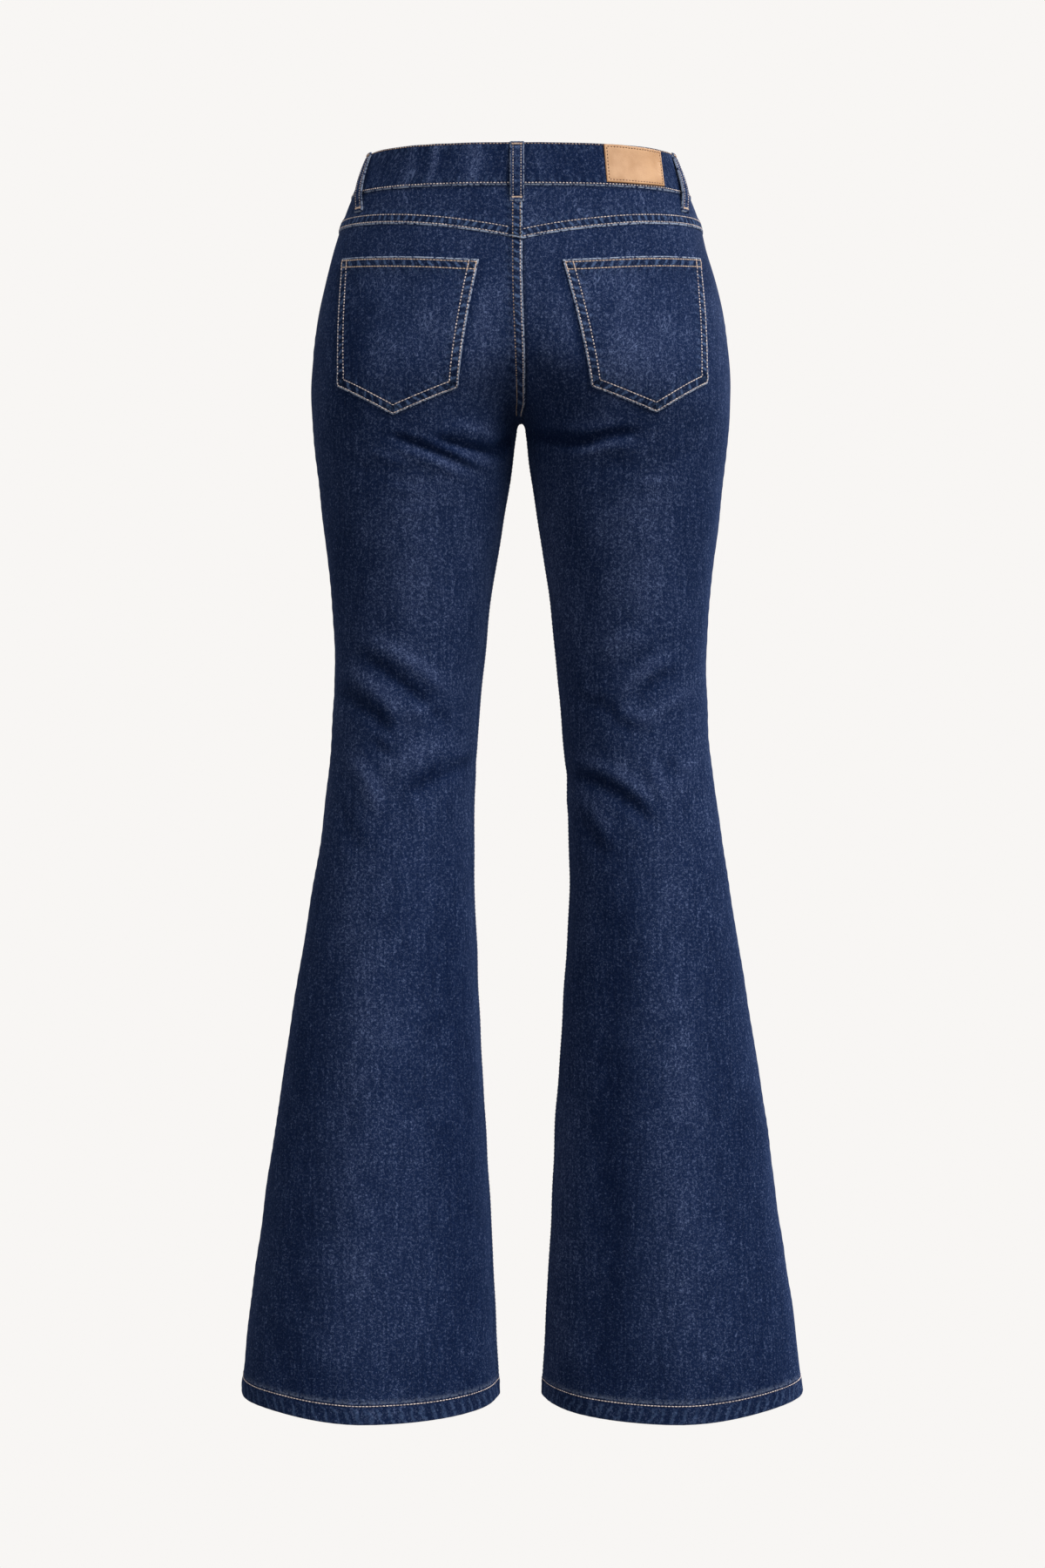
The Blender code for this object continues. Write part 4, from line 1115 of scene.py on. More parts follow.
def front_face(front, side, along, height, level):
    """Lift, wall and marks at places on a front panel, with the fly and the pocket opening's turned edge."""
    lift, wall, marks = panel_face(front, side, along, height, level)
    above_foot = smooth_step(height, FLY_FOOT - 4.0, FLY_FOOT + 6.0) * (side > 0)
    strip, strip_marks = felled(along + LAP_REACH, -height)
    fold = 1.3 - 0.6 * dent(along + LAP_REACH, 0.7) - 1.3 * smooth_step(along, FLY_WIDTH - 6.0, FLY_WIDTH + 6.0)
    lift = lift + (fold - strip) * above_foot
    marks = with_marks(marks, strip_marks, -above_foot)
    from_row = np.minimum(*(np.abs(fly_row_offset(along, height, row)) for row in FLY_ROWS))
    fly_marks = marks_of(along, groove=dent(from_row, 0.7), rub=0.2 * dent(along, 2.5),
                         ladder=0.5 * dent(from_row, 4.0), run=-height)
    lift = lift - 0.3 * dent(from_row, 0.6) * (side > 0)
    marks = with_marks(marks, fly_marks, float(side > 0))
    apart, run = from_opening(along, height)
    turned, turned_marks = felled(apart, run, OPENING_ROWS, 10.0, 0.55)
    near = 1 - smooth_step(apart, 10.0, 14.0)
    return lift + turned * near, wall, with_marks(marks, turned_marks, near)


panel_faces[True] = front_face
FRONT_CUT, FRONT_AREA = cut_of(True, band_foot(True, 0.5) - FRONT_POCKET_DEPTH / 3)
for hand, side in HANDS.items():
    panel = dress(panel_shell("denim_front_" + hand, True, side), "front_panel_" + hand)
    sew("stitches_hem_" + hand, [hem_run(False, side), hem_run(True, side)], THREAD_PALE, length=2.7, thick=0.88)

crotch_heights = np.arange(FLY_FOOT + 1.0, CROTCH_HEIGHT + 3.0, -0.5)
sew("stitches_centre_front", [panel_run(True, 1.0, row - LAP_REACH, crotch_heights) for row in LAP_ROWS], THREAD_TAN)

turned = np.linspace(0, math.pi / 2, 90)
for number, row in enumerate(FLY_ROWS):
    radius = FLY_WIDTH - row
    straight = np.arange(float(band_foot(True, 0.1)), FLY_FOOT + FLY_WIDTH, -0.5)
    along = np.concatenate((np.full(len(straight), radius), radius * np.cos(turned)))
    height = np.concatenate((straight, FLY_FOOT + FLY_WIDTH - radius * np.sin(turned)))
    sew("stitches_fly_" + "ab"[number], [panel_run(True, 1.0, along, height)], THREAD_TAN)


def opening_run(side, row):
    """One row of stitches beside the pocket opening."""
    heading = np.stack((np.gradient(OPENING_ALONG), np.gradient(OPENING_HEIGHTS)), axis=-1)
    heading /= np.linalg.norm(heading, axis=1)[:, None]
    along = OPENING_ALONG + heading[:, 1] * row
    height = OPENING_HEIGHTS - heading[:, 0] * row
    inside = height < band_foot(True, along / FRONT_TOP_LENGTH) - 0.5
    return panel_run(True, side, along[inside], height[inside])


for hand, side in HANDS.items():
    sew("stitches_opening_" + hand, [opening_run(side, row) for row in OPENING_ROWS], THREAD_TAN)

# ---------------------------------------------------------------------------------------------------------------------
# Yokes. Two shaped pieces of the twill between the waistband and the back panels, lapped over the panels and held by
# two rows of stitches, and felled left over right at the centre back like the seat below them.
YOKE_LAP = 0.9
YOKE_WALL = 0.9
YOKE_LENGTH = float(face_length(False, -60.0))
YOKE_ROWS = (1.9, 8.1)
YOKE_LEVELS = np.array((0, 0.4, 0.9, 1.5, 2.1, 2.8, 3.8, 4.8, 6.0, 7.0, 7.8, 8.6, 9.6, 11.0, 13.0))
YOKE_ABOVE = 20
YOKE_ACROSS = strips_across(INNER_STRIP, 110, SIDE_STRIP)


def yoke_face(side, along, height):
    """Lift and marks on a yoke."""
    above_foot = height - yoke_seam(np.abs(along) / face_length(False, height)) + YOKE_LAP
    lift, marks = felled(above_foot, along * 1.1 + 50 * side, YOKE_ROWS, LAP_WIDTH, 1.05)
    if side > 0:
        strip, strip_marks = felled(along + LAP_REACH, -height)
        lift, marks = lift + strip, with_marks(marks, strip_marks)
    seam_lift, seam_marks = side_seam(False, face_length(False, height) - along, height)
    below_band = band_foot(False, np.abs(along) / face_length(False, height)) - height
    # painted shadow on the yoke just below the waistband's foot
    marks[MARKS.index("groove")] += 0.8 * dent(below_band, 2.0)
    return lift + seam_lift, with_marks(marks, seam_marks)


def yoke_shell(name, side):
    def lay(column, row):
        across = strip_place(YOKE_ACROSS, column, YOKE_LENGTH) / YOKE_LENGTH
        foot = yoke_seam(across) - YOKE_LAP
        top = band_foot(False, across) + TUCK
        strip = len(YOKE_LEVELS) - 1
        upward = (len(YOKE_LEVELS) + YOKE_ABOVE - 1) - row
        above = np.where(upward <= strip, YOKE_LEVELS[np.minimum(upward, strip)], 0.0)
        rest = (upward - strip) / YOKE_ABOVE
        height = foot + np.where(upward <= strip, above, YOKE_LEVELS[-1] + (top - foot - YOKE_LEVELS[-1]) * rest)
        start = SEAM_GAP / 2 - (LAP_REACH + SEAM_GAP / 2) * (side > 0)
        along = start + across * (face_length(False, height) - SEAM_GAP / 2 - start)
        lift, marks = yoke_face(side, along, height)
        points = on_cloth(False, side, along, height, lift)
        return points, YOKE_WALL, marks, across_grain(False, side, along, height), height
    return cloth_shell(name, len(YOKE_ACROSS[0]), len(YOKE_LEVELS) + YOKE_ABOVE, lay, DENIM)


def yoke_run(side, along, height):
    return on_cloth(False, side, along, height, yoke_face(side, along, height)[0])


yoke_shares = np.linspace(0, 1, 200)
YOKE_AREA = float((band_foot(False, yoke_shares) - yoke_seam(yoke_shares)).mean()) * YOKE_LENGTH * MM * MM
for hand, side in HANDS.items():
    yoke = dress(yoke_shell("denim_yoke_" + hand, side), "back_yoke_" + hand)
    runs = []
    for row in YOKE_ROWS:
        share = np.linspace(0.047 if side > 0 else 0.006, 1.0, 400)
        height = yoke_seam(share) - YOKE_LAP + row
        runs.append(yoke_run(side, share * face_length(False, height), height))
    sew("stitches_yoke_" + hand, runs, THREAD_PALE, length=2.5, thick=0.95)
yoke_heights = np.arange(float(band_foot(False, 0.0)), yoke_seam(0.0) - YOKE_LAP, -0.5)
sew("stitches_centre_yoke",
    [yoke_run(1.0, np.full(yoke_heights.shape, row - LAP_REACH), yoke_heights) for row in LAP_ROWS], THREAD_TAN)

# ---------------------------------------------------------------------------------------------------------------------
# Back pockets. Five-sided patches of the twill, turned in at the edges and held by two rows of stitches, with a wider
# doubled hem along the open top.
BACK_POCKETS = {
    # X and height seen from behind: inner top, outer top, outer low, tip and inner low
    "left": ((35.0, -107.4), (151.1, -98.4), (153.5, -211.0), (107.1, -235.8), (53.1, -213.3)),
    "right": ((-34.6, -107.8), (-151.6, -97.8), (-156.0, -208.0), (-113.2, -233.8), (-59.1, -212.6)),
}
POCKET_BOWS = (-0.5, 1.7, 0.0, 0.0, -1.4)  # how far the top, outer, two lower and inner edges swell outwards
POCKET_WALL = 1.2
POCKET_ROWS = (1.5, 7.9)
POCKET_TOP_ROWS = (2.6, 9.0)
POCKET_STRIP = (0, 0.4, 0.9, 1.5, 2.1, 3.0, 4.4, 5.8, 7.0, 7.8, 8.6, 9.6, 11.5)
POCKET_MIDDLE = 52
POCKET_ENDS = 0.8        # how far below the top edge the rows down the sides begin
TACK_REACH = 2.5         # how far past the mouth's lower row the tacks go
POCKET_CLOTH_PLACE = (300, 200)


def back_depth(x, z):
    """Y of the back of the body at a distance from the middle and a height."""
    centre, half, back, _, middle, power = section_at(z)
    reach = np.minimum(np.abs((np.sqrt(x * x + CLEFT ** 2) - centre) / half), 1.0)
    return middle + (back - middle) * (1.0 - reach ** power) ** (1.0 / power)


def on_back(side, places, lift):
    """Points in metres on the back of the body, where it is seen from straight behind at places."""
    x, z = places.T
    for _ in range(2):
        y = back_depth(x, z)
        out = outward(x, y, z)
        drape = drape_lift(side * x, y, z)
        x, z = places[:, 0] - out[:, 0] * drape, places[:, 1] - out[:, 2] * drape
    y = back_depth(x, z)
    points = np.stack((x, y, z), axis=-1) + outward(x, y, z) * (lift + drape_lift(side * x, y, z))[:, None]
    points[:, 0] *= side
    return points * MM


ROW_POINTS = 300


class Outline:
    """A patch's outline seen from straight behind, with its corners going round it and each edge a little bowed."""

    def __init__(self, corners, bows):
        self.corners, self.bows = np.abs(np.array(corners)) * (1, -1), np.array(bows)
        self.ways = np.roll(self.corners, -1, axis=0) - self.corners
        self.lengths = np.linalg.norm(self.ways, axis=1)
        self.ways /= self.lengths[:, None]
        self.inward = np.stack((-self.ways[:, 1], self.ways[:, 0]), axis=-1)
        middle = self.corners.mean(axis=0)
        self.inward *= np.sign(((middle - self.corners) * self.inward).sum(axis=1))[:, None]

    def edge(self, number, share):
        """Points along one edge, from its own corner to the next."""
        share = np.asarray(share, dtype=float)[..., None]
        swell = self.bows[number] * 4 * share * (1 - share)
        return self.corners[number] + self.ways[number] * self.lengths[number] * share - self.inward[number] * swell

    def depths(self, places):
        """Millimetres of cloth from each edge to places inside it, how far along it they are, and how much longer the
        cloth is than it looks from straight behind."""
        apart = places[:, None, :] - self.corners
        run = (apart * self.ways).sum(axis=-1)
        share = np.clip(run / self.lengths, 0, 1)
        seen = (apart * self.inward).sum(axis=-1) + self.bows * 4 * share * (1 - share)
        x, z = places.T
        out = outward(x, back_depth(x, z), z)
        slope = -(out[:, [0, 2]] / out[:, 1:2]) @ self.inward.T
        longer = np.sqrt(1 + slope ** 2)
        return seen * longer, run, longer

    def drawn_in(self, corner, before, after):
        """The place that lies at one depth inside the edge before a corner and at another inside the edge after."""
        place = self.corners[corner].copy()
        pair = [corner - 1, corner]
        for _ in range(8):
            depths, _, longer = self.depths(place[None, :])
            short = (np.array((before, after)) - depths[0, pair]) / longer[0, pair]
            place += np.linalg.solve(self.inward[pair], short)
        return place

    def row(self, edges, depths):
        """A path that keeps one depth inside each of a run of neighbouring edges, given the depths of all edges."""
        paths = []
        for number in edges:
            after = (number + 1) % len(self.corners)
            start = self.drawn_in(number, depths[number - 1], depths[number])
            end = self.drawn_in(after, depths[number], depths[after])
            places = start + (end - start) * np.linspace(0, 1, ROW_POINTS)[:, None]
            for _ in range(4):
                seen, _, longer = self.depths(places)
                places += self.inward[number] * ((depths[number] - seen[:, number]) / longer[:, number])[:, None]
            paths.append(places)
        return np.concatenate(paths)

    def grid_places(self, strips, column, row, drop, foot):
        """Places at grid lines between the top edge, the two sides and a foot, which is a function from 0 to 1.

        The same strips lie across and down.
        """
        across = strip_place(strips, column, self.lengths[0]) / self.lengths[0]
        down = strip_place(strips, row, drop) / drop
        a, d = across[:, None], down[:, None]
        corners = ((1 - a) * (1 - d) * self.edge(0, 0.0) + a * (1 - d) * self.edge(0, 1.0)
                   + (1 - a) * d * foot(0.0) + a * d * foot(1.0))
        inner, outer = self.edge(-1, 1 - down), self.edge(1, down)
        return (1 - d) * self.edge(0, across) + d * foot(across) + (1 - a) * inner + a * outer - corners


def pocket_face(outline, places):
    """Lift and marks on a back pocket. Its first edge is the open top."""
    depths, runs, _ = outline.depths(places)
    top, others = depths[:, 0], depths[:, 1:].min(axis=1)
    lift, marks = np.full(len(places), SEAM_GAP + POCKET_WALL), no_marks(places)
    for number in range(len(outline.corners)):
        rows = POCKET_ROWS if number else POCKET_TOP_ROWS
        raised, sewn = felled(depths[:, number], runs[:, number] + 31 * number, rows, rows[1] + 2.0, 0.4)
        lift, marks = lift + raised, with_marks(marks, sewn)
    inside = smooth_step(np.minimum(top, others), 8.0, 40.0)
    mouth = (1 - smooth_step(top, 0.0, 30.0)) * smooth_step(others, 4.0, 40.0)
    return lift + 0.5 * inside + 0.6 * mouth, marks


POCKET_ACROSS = strips_across(POCKET_STRIP, POCKET_MIDDLE, POCKET_STRIP)
for hand, side in HANDS.items():
    outline = Outline(BACK_POCKETS[hand], POCKET_BOWS)

    def low_edge(share):
        share = np.asarray(share)
        inner_half, outer_half = outline.edge(3, 1 - 2 * share), outline.edge(2, 2 - 2 * share)
        return np.where(share[..., None] < 0.5, inner_half, outer_half)

    def lay(column, row):
        places = outline.grid_places(POCKET_ACROSS, column, row, outline.lengths[-1], low_edge)
        lift, marks = pocket_face(outline, places)
        x, height = places.T
        over = across_grain(False, side, length_at_x(False, x, height), height)
        across, down = over + POCKET_CLOTH_PLACE[0], height + POCKET_CLOTH_PLACE[1]
        return on_back(side, places, lift), np.minimum(POCKET_WALL, lift - 0.1), marks, across, down

    size = len(POCKET_ACROSS[0])
    pocket = dress(cloth_shell("denim_pocket_" + hand, size, size, lay, DENIM), "back_pocket_" + hand)
    across_cut = float(np.ptp(length_at_x(False, outline.corners[:, 0], outline.corners[:, 1].mean()))) * MM

    def inside(edges, top, others):
        """A path inside some edges, by the depths kept inside the open top and inside the others."""
        return outline.row(edges, (top,) + (others,) * 4)

    def sewn_on(places, extra=0.0):
        return on_back(side, places, pocket_face(outline, places)[0] + extra)

    sew("stitches_pocket_" + hand,
        [sewn_on(inside((edge,), POCKET_ENDS, row)) for row in POCKET_ROWS for edge in (1, 4)], THREAD_PALE)
    sew("stitches_pocket_foot_" + hand, [sewn_on(inside((2, 3), POCKET_ENDS, row)) for row in POCKET_ROWS],
        THREAD_PALE, length=2.95, thick=0.9)
    sew("stitches_pocket_mouth_" + hand, [sewn_on(inside((0,), row, 1.0)) for row in POCKET_TOP_ROWS], THREAD_GOLD,
        length=2.90, thick=1.0)
    runs = []
    for row in POCKET_ROWS:
        for edge in (1, 4):
            down = inside((edge,), POCKET_TOP_ROWS[0] - 0.5, row)
            reach = outline.depths(down)[0][:, 0]
            runs.append(sewn_on(down[reach < POCKET_TOP_ROWS[1] + TACK_REACH], 0.15))
    sew("tacks_pocket_" + hand, runs, THREAD_GOLD, pitch=0.55, length=1.3, thick=0.6, across=True)

# ---------------------------------------------------------------------------------------------------------------------
# Front pocket facings. A piece of the twill fills each curved opening and sinks behind the front panel's edge. It is
# caught in the waistband's seam and in the side seam.
FACING_MARGIN = 15.0
FACING_SINKS = (0.16, 0.5)
FACING_GAPE = 2.5
FACING_COLUMNS, FACING_ROWS = 64, 64
FACING_FOOT = float(band_foot(True, 1.0)) - FRONT_POCKET_DEPTH - 2 * FACING_MARGIN


def facing_shell(name, side):
    opening = FRONT_POCKET_FROM_MIDDLE / FRONT_TOP_LENGTH
    share_from = (FRONT_POCKET_FROM_MIDDLE - FACING_MARGIN) / FRONT_TOP_LENGTH

    def lay(column, row):
        across, down = column / (FACING_COLUMNS - 1), row / (FACING_ROWS - 1)
        share = share_from + (1 - share_from) * across
        top = band_foot(True, share) + TUCK
        height = top + (FACING_FOOT - top) * down
        length = face_length(True, height)
        along = share * length - SEAM_GAP / 2 * across
        out = (length - along) / (length - FRONT_POCKET_FROM_MIDDLE)
        below = (height - band_foot(True, opening)) / FRONT_POCKET_DEPTH
        sunk = 1 - smooth_step(1 - np.hypot(out, below), *FACING_SINKS)
        seam_lift, marks = side_seam(True, length - along, height)
        lift = seam_lift * (1 - sunk) - FACING_GAPE * sunk
        points = on_cloth(True, side, along, height, lift)
        return points, CLOTH_WALL, marks, along * side + 500, height
    return cloth_shell(name, FACING_COLUMNS, FACING_ROWS, lay, DENIM)


FACING_CUT = (float(FRONT_TOP_LENGTH - FRONT_POCKET_FROM_MIDDLE + FACING_MARGIN) * MM,
              float(band_foot(True, 1.0) - FACING_FOOT) * MM)
for hand, side in HANDS.items():
    facing = dress(facing_shell("denim_facing_" + hand, side), "front_pocket_facing_" + hand)

# ---------------------------------------------------------------------------------------------------------------------
# Fly. A cotton zip tape with metal teeth lies behind the lapped edges, and a doubled shield of the twill lies behind
# the tape. Both are caught in the waistband's seam.
ZIP_HALF_WIDTH = 12.0
ZIP_SHORTER = 6.0
ZIP_WALL = 1.0
ZIP_LIFT = -1.6
SHIELD_START = -5.0
SHIELD_WIDTH = 43.0
SHIELD_ROUNDING = 26.0
SHIELD_CURVE = 2.5
SHIELD_WALL = 1.0
SHIELD_LIFT = -2.9
ZIP_GRID, SHIELD_GRID = (24, 60), (40, 60)
FLY_TOP = float(band_foot(True, 0.0)) + TUCK

zip_cloth, tree, shader = start_material("zip_tape")
tape_colour = blend(diagonal_ribs(cloth_map(tree), 420.0), (0.012, 0.018, 0.040, 1), (0.030, 0.040, 0.075, 1))
feed(shader, {"Base Color": tape_colour, "Roughness": 0.85})


def lay_zip(column, row):
    along = ZIP_HALF_WIDTH * (2 * column / (ZIP_GRID[0] - 1) - 1)
    height = FLY_TOP - (FLY_DEPTH - ZIP_SHORTER) * row / (ZIP_GRID[1] - 1)
    points = on_cloth(True, 1.0, along, height, ZIP_LIFT)
    return points, ZIP_WALL, no_marks(along), along, height


def lay_shield(column, row):
    across, down = column / (SHIELD_GRID[0] - 1), row / (SHIELD_GRID[1] - 1)
    along = SHIELD_START + SHIELD_WIDTH * across
    height = FLY_TOP - (FLY_DEPTH - SHIELD_ROUNDING * across ** SHIELD_CURVE) * down
    points = on_cloth(True, 1.0, along, height, SHIELD_LIFT)
    return points, SHIELD_WALL, no_marks(along), along + 700, height


zip_tape = dress(cloth_shell("zip_tape", *ZIP_GRID, lay_zip, zip_cloth, zip_cloth), "fly_zip_tape")
shield = dress(cloth_shell("denim_shield", *SHIELD_GRID, lay_shield, DENIM), "fly_shield")

BRASS, tree, shader = start_material("brass")
polish = plain_noise(wire(tree, "TexCoord", output="Object"), 420.0, 4.0)
feed(shader, {"Base Color": blend(polish.rise(0.35, 0.75), (0.62, 0.40, 0.17, 1), (0.341, 0.22, 0.0935, 1)),
              "Metallic": 1.0, "Roughness": polish.rise(0.3, 0.7, 0.30, 0.52), "Normal": polish.bump(0.05 * MM, 0.6)})

TOOTH_PITCH = 1.5
TOOTH_SIZE = (2.6, 0.75, 0.9)
TEETH_SHORTER = 4.0
tooth_build = bmesh.new()
tooth_heights = np.arange(FLY_TOP - TEETH_SHORTER, FLY_TOP - FLY_DEPTH + ZIP_SHORTER + TEETH_SHORTER, -TOOTH_PITCH)
tooth_along = np.where(np.arange(len(tooth_heights)) % 2, 0.6, -0.6)
for place in on_cloth(True, 1.0, tooth_along, tooth_heights, ZIP_LIFT + 0.2):
    made = bmesh.ops.create_cube(tooth_build, size=1.0)["verts"]
    bmesh.ops.scale(tooth_build, verts=made, vec=Vector(TOOTH_SIZE) * MM)
    bmesh.ops.translate(tooth_build, verts=made, vec=place)
dress(add_piece("zip_teeth", tooth_build, [BRASS]))

# ---------------------------------------------------------------------------------------------------------------------
# Waistband. A straight strip of the twill, doubled over a stiffener, with a row of stitches close to each long edge.
# Its left end laps over the right one at the centre front.
BAND_LIFT = 0.8
BAND_WALL = 2.6
BAND_OVERLAP = 8.0
BAND_UNDERLAP = 30.0
BAND_STEP_IN = 28.0
BAND_STEP_CLEAR = 3.0
BAND_ROWS = (1.3, 2.1)   # depth of the rows inside the top edge and inside the lower one
BAND_STRIP = (0, 0.25, 0.6, 1.0, 1.4, 1.9, 2.6, 3.4, 4.6)
BAND_MIDDLE, BAND_COLUMNS = 12, 460
BACK_WAIST_LENGTH = float(face_length(False, -25.0))
BAND_START, BAND_END = 2 + BAND_OVERLAP / FRONT_WAIST_LENGTH, -2 - BAND_UNDERLAP / FRONT_WAIST_LENGTH
BAND_DROP = BAND_HEIGHT - SEAM_GAP / 2
QUARTER_WAIST = (FRONT_WAIST_LENGTH + BACK_WAIST_LENGTH) / 2
BAND_END_ROW = 2.5       # how far inside the left end the stitches turn down


def band_face(around, run, below_top):
    """Lift, wall taken off the edges and marks of the waistband."""
    past_middle = -(around + 2) * FRONT_WAIST_LENGTH
    under = smooth_step(past_middle, -BAND_OVERLAP - BAND_STEP_IN, -BAND_OVERLAP - BAND_STEP_CLEAR)
    above_foot = BAND_DROP - below_top
    from_end = (BAND_START - around) * FRONT_WAIST_LENGTH
    wave, slow = pucker(run), np.sin(run / 5.1 + 1.4 * np.sin(run / 13.0)) * (0.6 + 0.4 * np.sin(run / 37.0))
    edges = dent(below_top, 0.55) + dent(above_foot, 0.5)
    grooves = dent(below_top - BAND_ROWS[0], 0.5) + dent(above_foot - BAND_ROWS[1], 0.6)
    beside = dent(below_top - 4.0, 2.6) + dent(above_foot - 4.5, 2.8)
    rise = 0.28 * slow + 0.16 * wave * beside - 0.28 * grooves - 0.95 * edges - 0.9 * dent(from_end, 0.6)
    paleness = 0.42 * np.maximum(slow, -0.35) ** 2 * np.sign(slow) - 0.12
    fray = 0.9 * (1 - smooth_step(above_foot, 0.5, 1.4))
    marks = marks_of(run, rub=paleness, fray=fray, groove=grooves, ladder=0.35 * beside, run=run)
    return BAND_LIFT - (BAND_WALL + SEAM_GAP) * under + rise, 1.9 * edges, marks


def on_band(around, below_top, extra=0.0):
    """Points on the waistband's face: 0 to 1 from the centre back to a side seam and on to 2 at the centre front."""
    around, below_top = np.broadcast_arrays(np.asarray(around, dtype=float), np.asarray(below_top, dtype=float))
    front, past = np.abs(around) > 1, 2 - np.abs(around)
    share = np.where(front, np.abs(past), np.abs(around))
    height = waist_edge(front, share) - below_top
    side = np.sign(around) * np.where(front, np.sign(past), 1.0)
    run = around * QUARTER_WAIST
    lift, thinner, marks = band_face(around, run, below_top)
    points = on_cloth(front, side, share * face_length(front, height), height, lift + extra)
    return points, BAND_WALL - thinner, marks, run, height


BAND_DOWN = strips_across(BAND_STRIP, BAND_MIDDLE, BAND_STRIP)


def lay_band(column, row):
    around = BAND_START + (BAND_END - BAND_START) * column / (BAND_COLUMNS - 1)
    return on_band(around, strip_place(BAND_DOWN, row, BAND_DROP))


band = dress(cloth_shell("denim_waistband", BAND_COLUMNS, len(BAND_DOWN[0]), lay_band, DENIM, DENIM), "waistband")
left_end = BAND_START - BAND_END_ROW / FRONT_WAIST_LENGTH
around = np.linspace(left_end, BAND_END + 0.03, 2400)
sew("stitches_band_top", [on_band(around, BAND_ROWS[0])[0]], THREAD_TAN)
sew("stitches_band_foot", [on_band(around, BAND_DROP - BAND_ROWS[1])[0]], THREAD_PALE)
down = np.linspace(BAND_ROWS[0], BAND_DROP - BAND_ROWS[1], 100)
sew("stitches_band_end", [on_band(left_end, down)[0]], THREAD_TAN)

# ---------------------------------------------------------------------------------------------------------------------
# Patch. A bare piece of tan vegetable-tanned leather, sewn to the waistband right of the centre back, with a row of
# brown stitches just inside its edge.
# X and height seen from behind: inner top, outer top, outer low and inner low
PATCH_CORNERS = ((-69.1, -5.6), (-117.6, -5.6), (-120.9, -37.7), (-71.9, -38.6))
PATCH_WALL = 1.3
PATCH_ROW = 2.2
PATCH_STRIP = (0, 0.3, 0.8, 1.5, 2.2, 2.9, 3.8)
PATCH_MIDDLE = 26
PATCH_BOWS = (0.4, 0.0, 0.5, 0.0)

leather, tree, shader = start_material("leather")
place = wire(tree, "TexCoord", output="Object")
pores = wire(tree, "TexVoronoi", {"Vector": place, "Scale": 900.0}, "Distance")
grain, stain = plain_noise(place, 1300.0, 3.0), plain_noise(place, 55.0, 5.0)
tan = blend(stain.rise(0.3, 0.75), (0.56, 0.315, 0.155, 1), (0.43, 0.225, 0.100, 1))
tan = blend(grain.rise(0.5, 0.8) * 0.35, tan, (0.42, 0.21, 0.095, 1))
tan = blend(mark_at(tree, "fray") * 0.6, tan, (0.30, 0.14, 0.06, 1))
feed(shader, {"Base Color": tan, "Normal": (grain * 0.6 + pores * 0.5).bump(0.12 * MM, 0.7),
              "Roughness": stain.rise(0.2, 0.8, 0.48, 0.62)})

patch = Outline(PATCH_CORNERS, PATCH_BOWS)
PATCH_ACROSS = strips_across(PATCH_STRIP, PATCH_MIDDLE, PATCH_STRIP)


def on_patch(places):
    """Points on the patch's face, and how far places are from its nearest edge."""
    edge = patch.depths(places)[0].min(axis=1)
    x, height = places.T
    around = -length_at_x(False, x, height) / face_length(False, height)
    run = around * QUARTER_WAIST
    carried = band_face(around, run, BAND_HEIGHT / 2)[0]
    warp = 0.25 * np.sin(x / 9.0 + height / 14.0) * (1 - smooth_step(edge, 0.0, 12.0))
    grooves = 0.25 * dent(edge - PATCH_ROW, 0.6)
    rise = carried + SEAM_GAP + PATCH_WALL + warp - grooves - 0.55 * dent(edge, 0.4)
    return on_back(-1.0, places, rise), edge


def lay_patch(column, row):
    places = patch.grid_places(PATCH_ACROSS, column, row, patch.lengths[1],
                               lambda share: patch.edge(2, 1 - np.asarray(share)))
    points, edge = on_patch(places)
    marks = marks_of(edge, fray=1 - smooth_step(edge, 0.1, 1.0), groove=dent(edge - PATCH_ROW, 0.7))
    return points, PATCH_WALL - 0.5 * dent(edge, 0.4), marks, places[:, 0], places[:, 1]


size = len(PATCH_ACROSS[0])
patch_piece = dress(cloth_shell("patch_leather", size, size, lay_patch, leather, leather), "leather_patch")
THREAD_BROWN = topstitch_material("thread_brown", (0.24, 0.12, 0.06, 1), (0.11, 0.05, 0.03, 1))
sew("stitches_patch", [on_patch(patch.row(range(4), (PATCH_ROW,) * 4))[0]], THREAD_BROWN, length=1.9, thick=0.95)

# ---------------------------------------------------------------------------------------------------------------------
# Belt loops. Five strips of the twill, folded to a third, sewn down both long edges and tacked at the top of the
# waistband and below it.
BELT_LOOPS = {
    # whether on the front, length of cloth from the middle seam at the top and at the foot, and the loop's length
    "centre_back": (False, 3.4, 3.4, 51.5),
    "side_left": (False, 159.0, 155.5, 54.5),
    "side_right": (False, -162.0, -158.5, 54.5),
    "front_left": (True, 78.0, 80.0, 53.0),
    "front_right": (True, -78.0, -80.0, 53.0),
}
LOOP_WIDTH = 12.0
LOOP_WALL = 1.6
LOOP_STAND_OFF = 2.3
LOOP_OFF_BAND = (0.72, 0.90)
LOOP_ARCH = (0.06, 0.92)
LOOP_ARCH_FULLNESS = 0.8
LOOP_STRIP = (0, 0.3, 0.7, 1.2, 1.8, 2.4, 3.0, 3.8)
LOOP_ACROSS = strips_across(LOOP_STRIP, 8, LOOP_STRIP)
LOOP_LEVELS = 90
LOOP_ROW = 2.7


